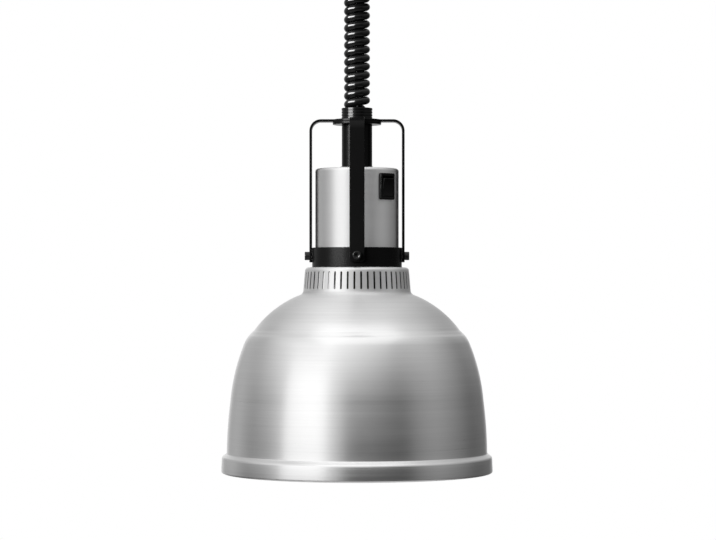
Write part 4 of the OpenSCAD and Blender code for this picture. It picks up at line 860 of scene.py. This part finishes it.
def rockerShape():
    # a shallow V whose two halves are dished a little, turned about its pivot so the lower half is level
    d = switch
    tilt = radians(d["tilt"])
    reach = (d["face"] + d["proud"] - d["pivot"]) / cos(tilt)
    half = d["rocker"][1] / 2 - reach * sin(tilt)
    rise = half * tan(tilt)
    upper = [(reach + rise * s - d["hollow"] * sin(pi * s), half * s) for s in np.linspace(0, 1, 9)[1:]]
    line = [(reach, 0)] + upper + [(d["rockerBack"], half), (-d["rockerBack"], half / 2)]
    line += [(x, -y) for x, y in reversed(line[1:])]
    side = d["rocker"][0] / 2
    tilted = [(x * cos(tilt) + z * sin(tilt) + d["pivot"], -x * sin(tilt) + z * cos(tilt)) for x, z in line]
    body = [[(x, y, z) for x, z in tilted] for y in (-side, side)]
    pin = [(d["pivot"] + d["pivotRadius"] * cos(2 * pi * k / 24), d["pivotRadius"] * sin(2 * pi * k / 24))
           for k in range(24)]
    pins = [[(x, y, z) for x, z in pin] for y in (-side - d["pivotLength"], side + d["pivotLength"])]
    return joined(loft(body), loft(pins))


addPiece("switch_case_moulded", turnedTo(caseShape(), switch["turn"], switch["h"]),
         "switch_case", "lamp", sharp=28)
easedEdges = ("BEVEL", {"width": switch["rockerEdge"] / 1000, "segments": 3, "limit_method": "ANGLE",
                        "angle_limit": radians(40)})
addPiece("rocker_moulded", turnedTo(rockerShape(), switch["turn"], switch["h"]), "rocker", "rocker", sharp=30,
         modifiers=[easedEdges, flatFaces])

# Bulb
bulb = {"radius": 62.5, "face": 21.0, "capLow": 176.0, "inCap": 189.0, "capEdge": 177.0, "neck": 12.2,
        "glass": 1.2,
        # shares of the radius, and of the length from the face up to the cap
        "form": [(0, 0), (0.1, 0), (0.42, 0.008), (0.75, 0.035), (0.94, 0.095), (1, 0.19), (0.965, 0.29),
                 (0.84, 0.42), (0.65, 0.55), (0.46, 0.67), (0.34, 0.78), (0.28, 0.897), (0.232, 0.974)]}


def smoothLine(points, steps):  # through all points
    points = [np.asarray(p, float) for p in points]
    line = []
    for i in range(len(points) - 1):
        a, b, c, d = (points[min(max(j, 0), len(points) - 1)] for j in (i - 1, i, i + 1, i + 2))
        for s in np.arange(steps) / steps:
            bent = (2 * a - 5 * b + 4 * c - d) * s * s + (3 * b - a - 3 * c + d) * s ** 3
            line.append(0.5 * (2 * b + (c - a) * s + bent))
    return line + [points[-1]]


def bulbShape():
    length = bulb["capLow"] - bulb["face"]
    form = [(r * bulb["radius"], bulb["face"] + s * length) for r, s in bulb["form"]]
    line = np.array(smoothLine(form + [(bulb["neck"], bulb["capEdge"])], 5) + [(bulb["neck"], bulb["inCap"])])
    ways = np.gradient(line, axis=0)
    inward = np.c_[-ways[:, 1], ways[:, 0]]
    inward /= np.linalg.norm(inward, axis=1)[:, None]
    inner = line + inward * bulb["glass"]
    line[0][0] = 0
    inner[:, 0] = np.maximum(inner[:, 0], 0)
    inner[0] = (0, bulb["face"] + bulb["glass"])
    return lathe(list(line) + list(inner[::-1]))


addPiece("bulb_glass_blown", bulbShape(), "bulb_glass", "bulb", sharp=40)
print("screws, switch and bulb made")

# Floor, world and lamps
floor = {"height": -2.0, "radius": 3.0, "middle": 0.05, "rings": 12, "around": 96,
         "fade": (0.7, 2.4),  # metres, fading out with distance
         "grain": 6.0, "greys": (0.80, 0.84), "roughness": (0.8, 0.1)}
distances = np.linspace(floor["radius"], floor["middle"], floor["rings"])
ways = [2 * pi * k / floor["around"] for k in range(floor["around"])]
points, faces = loft([[(r * cos(a), r * sin(a), floor["height"]) for a in ways] for r in distances], False)
mesh = bpy.data.meshes.new("floor")
mesh.from_pydata(points, [], faces)
ground = bpy.data.objects.new("floor", mesh)
scene.collection.objects.link(ground)
paper = Finish("paleFloor", {"Specular IOR Level": 0.2})
speck = paper.noise(paper.place(), floor["grain"], 3.0)
dark, light = floor["greys"]
base, spread = floor["roughness"]
paper.vary(colour=paper.mix(speck, grey(dark), grey(light)), roughness=base + spread * speck)
# the floor is clear from below, and fades out with distance
fromBelow = paper.node("ShaderNodeNewGeometry", output="Backfacing")
x, y, z = paper.split(paper.place())
faded = paper.step((x * x + y * y) ** 0.5, *floor["fade"])
seeThrough = paper.node("ShaderNodeBsdfTransparent")
paper.join(paper.node("ShaderNodeMixShader", {}, {0: fromBelow.maths("MAXIMUM", faded),
                                                  1: Wire(paper, paper.shader.outputs[0]), 2: seeThrough}),
           paper.tree.nodes["Material Output"].inputs["Surface"])
mesh.materials.append(paper.material)

# brightness of the studio round the lamp, level with it and halfway up
# 0 and 1 are behind it, 0.25 left, 0.5 the camera's side, 0.75 right
studioRound = [(0.0, 1.0), (0.035, 0.90), (0.075, 0.40), (0.14, 0.50), (0.205, 0.25), (0.265, 0.35),
               (0.33, 0.80), (0.40, 0.95), (0.445, 0.75), (0.48, 0.0), (0.62, 0.0), (0.655, 0.20),
               (0.70, 0.30), (0.77, 0.20), (0.83, 0.10), (0.935, 0.15), (0.97, 0.60), (1.0, 1.0)]
studioHigh = [(0.0, 0.9), (0.14, 0.45), (0.28, 1.0), (0.40, 1.15), (0.50, 0.85), (0.60, 0.4), (0.72, 0.55),
              (0.86, 0.35), (1.0, 0.9)]
studio = {"above": 1.05, "below": 0.08, "strength": 1.0, "halfway": 0.5, "under": (0.08, 0.5),
          "behind": (0.45, 0.49)}  # how far round from the camera's side the white ground starts and is full
world = bpy.data.worlds.new("studio")
scene.world = world
around = Nodes(world)
x, y, z = around.split(around.node("ShaderNodeTexCoord", output="Generated"))
turn = around.node("ShaderNodeMath", {"operation": "ARCTAN2"}, {0: x, 1: 0.0 - y}) / (2 * pi) + 0.5
level = around.node("ShaderNodeValToRGB", {"stops": studioRound}, {0: turn})
high = around.node("ShaderNodeValToRGB", {"stops": studioHigh}, {0: turn})
level = around.mix(around.step(z, 0.0, studio["halfway"], "LINEAR"), level, high)
level = around.mix(around.step(z, studio["halfway"], 1.0, "LINEAR"), level, grey(studio["above"]))
under = around.step(0.0 - z, *studio["under"])
level = around.mix(under, level, grey(studio["below"]))
behind = around.step((turn - 0.5).maths("ABSOLUTE"), *studio["behind"]) * (1.0 - under)
path = around.node("ShaderNodeLightPath").socket.node
seen, through, mirrored, bounced = (Wire(around, path.outputs[name]) for name in (
    "Is Camera Ray", "Is Transmission Ray", "Is Glossy Ray", "Diffuse Depth"))
through = through * (1.0 - bounced.maths("MINIMUM", 1.0))  # the glass shows the white, but lights nothing
# the camera and the glass see white all round, and metal mirrors it where it stands behind the lamp
shown = seen.maths("MAXIMUM", through).maths("MAXIMUM", mirrored * behind)
white = around.node("ShaderNodeBackground", {}, {"Color": grey(1.0), "Strength": 1.0})
room = around.node("ShaderNodeBackground", {}, {"Color": level, "Strength": studio["strength"]})
both = around.node("ShaderNodeMixShader", {}, {0: shown, 1: room, 2: white})
around.join(both, around.tree.nodes["World Output"].inputs["Surface"])

# turned to the right of the camera's side, in degrees; the rest is in metres and watts
lamps = {
    "keyLeft": {"turn": -46, "distance": 2.3, "height": -0.25, "size": (1.7, 1.7), "power": 4.5},
    "topSoft": {"turn": 0, "distance": 0.6, "height": 1.5, "size": (2.2, 2.2), "power": 5.5},
    "sparkle": {"turn": -50, "distance": 2.2, "height": 0.5, "size": (1.5, 1.3), "power": 200.0,
                "only": "blacks"},
    "cordSparkle": {"turn": -56, "distance": 2.2, "height": 0.5, "size": (2.7, 1.3), "power": 400.0,
                    "only": "cord"},
}
groups = {name: bpy.data.collections.new(name) for name in ("blacks", "cord")}
groups["cord"].objects.link(curlyCord)
for piece in bpy.data.objects:
    if piece.type == "MESH" and piece != curlyCord:
        if any(material and material.name in blackNames for material in piece.data.materials):
            groups["blacks"].objects.link(piece)
aim = Vector((0, 0, -0.33))
for name, d in lamps.items():
    light = bpy.data.lights.new(name, "AREA")
    light.shape = "RECTANGLE"
    light.size, light.size_y = d["size"]
    light.energy = d["power"]
    lamp = bpy.data.objects.new(name, light)
    scene.collection.objects.link(lamp)
    turn = radians(d["turn"])  # from the camera's side, to the right
    lamp.location = (d["distance"] * sin(turn), -d["distance"] * cos(turn), d["height"])
    lamp.rotation_euler = (aim - lamp.location).to_track_quat("-Z", "Y").to_euler()
    lamp.visible_camera = False
    if d.get("only"):
        lamp.light_linking.receiver_collection = groups[d["only"]]
print("floor, world and lamps made")
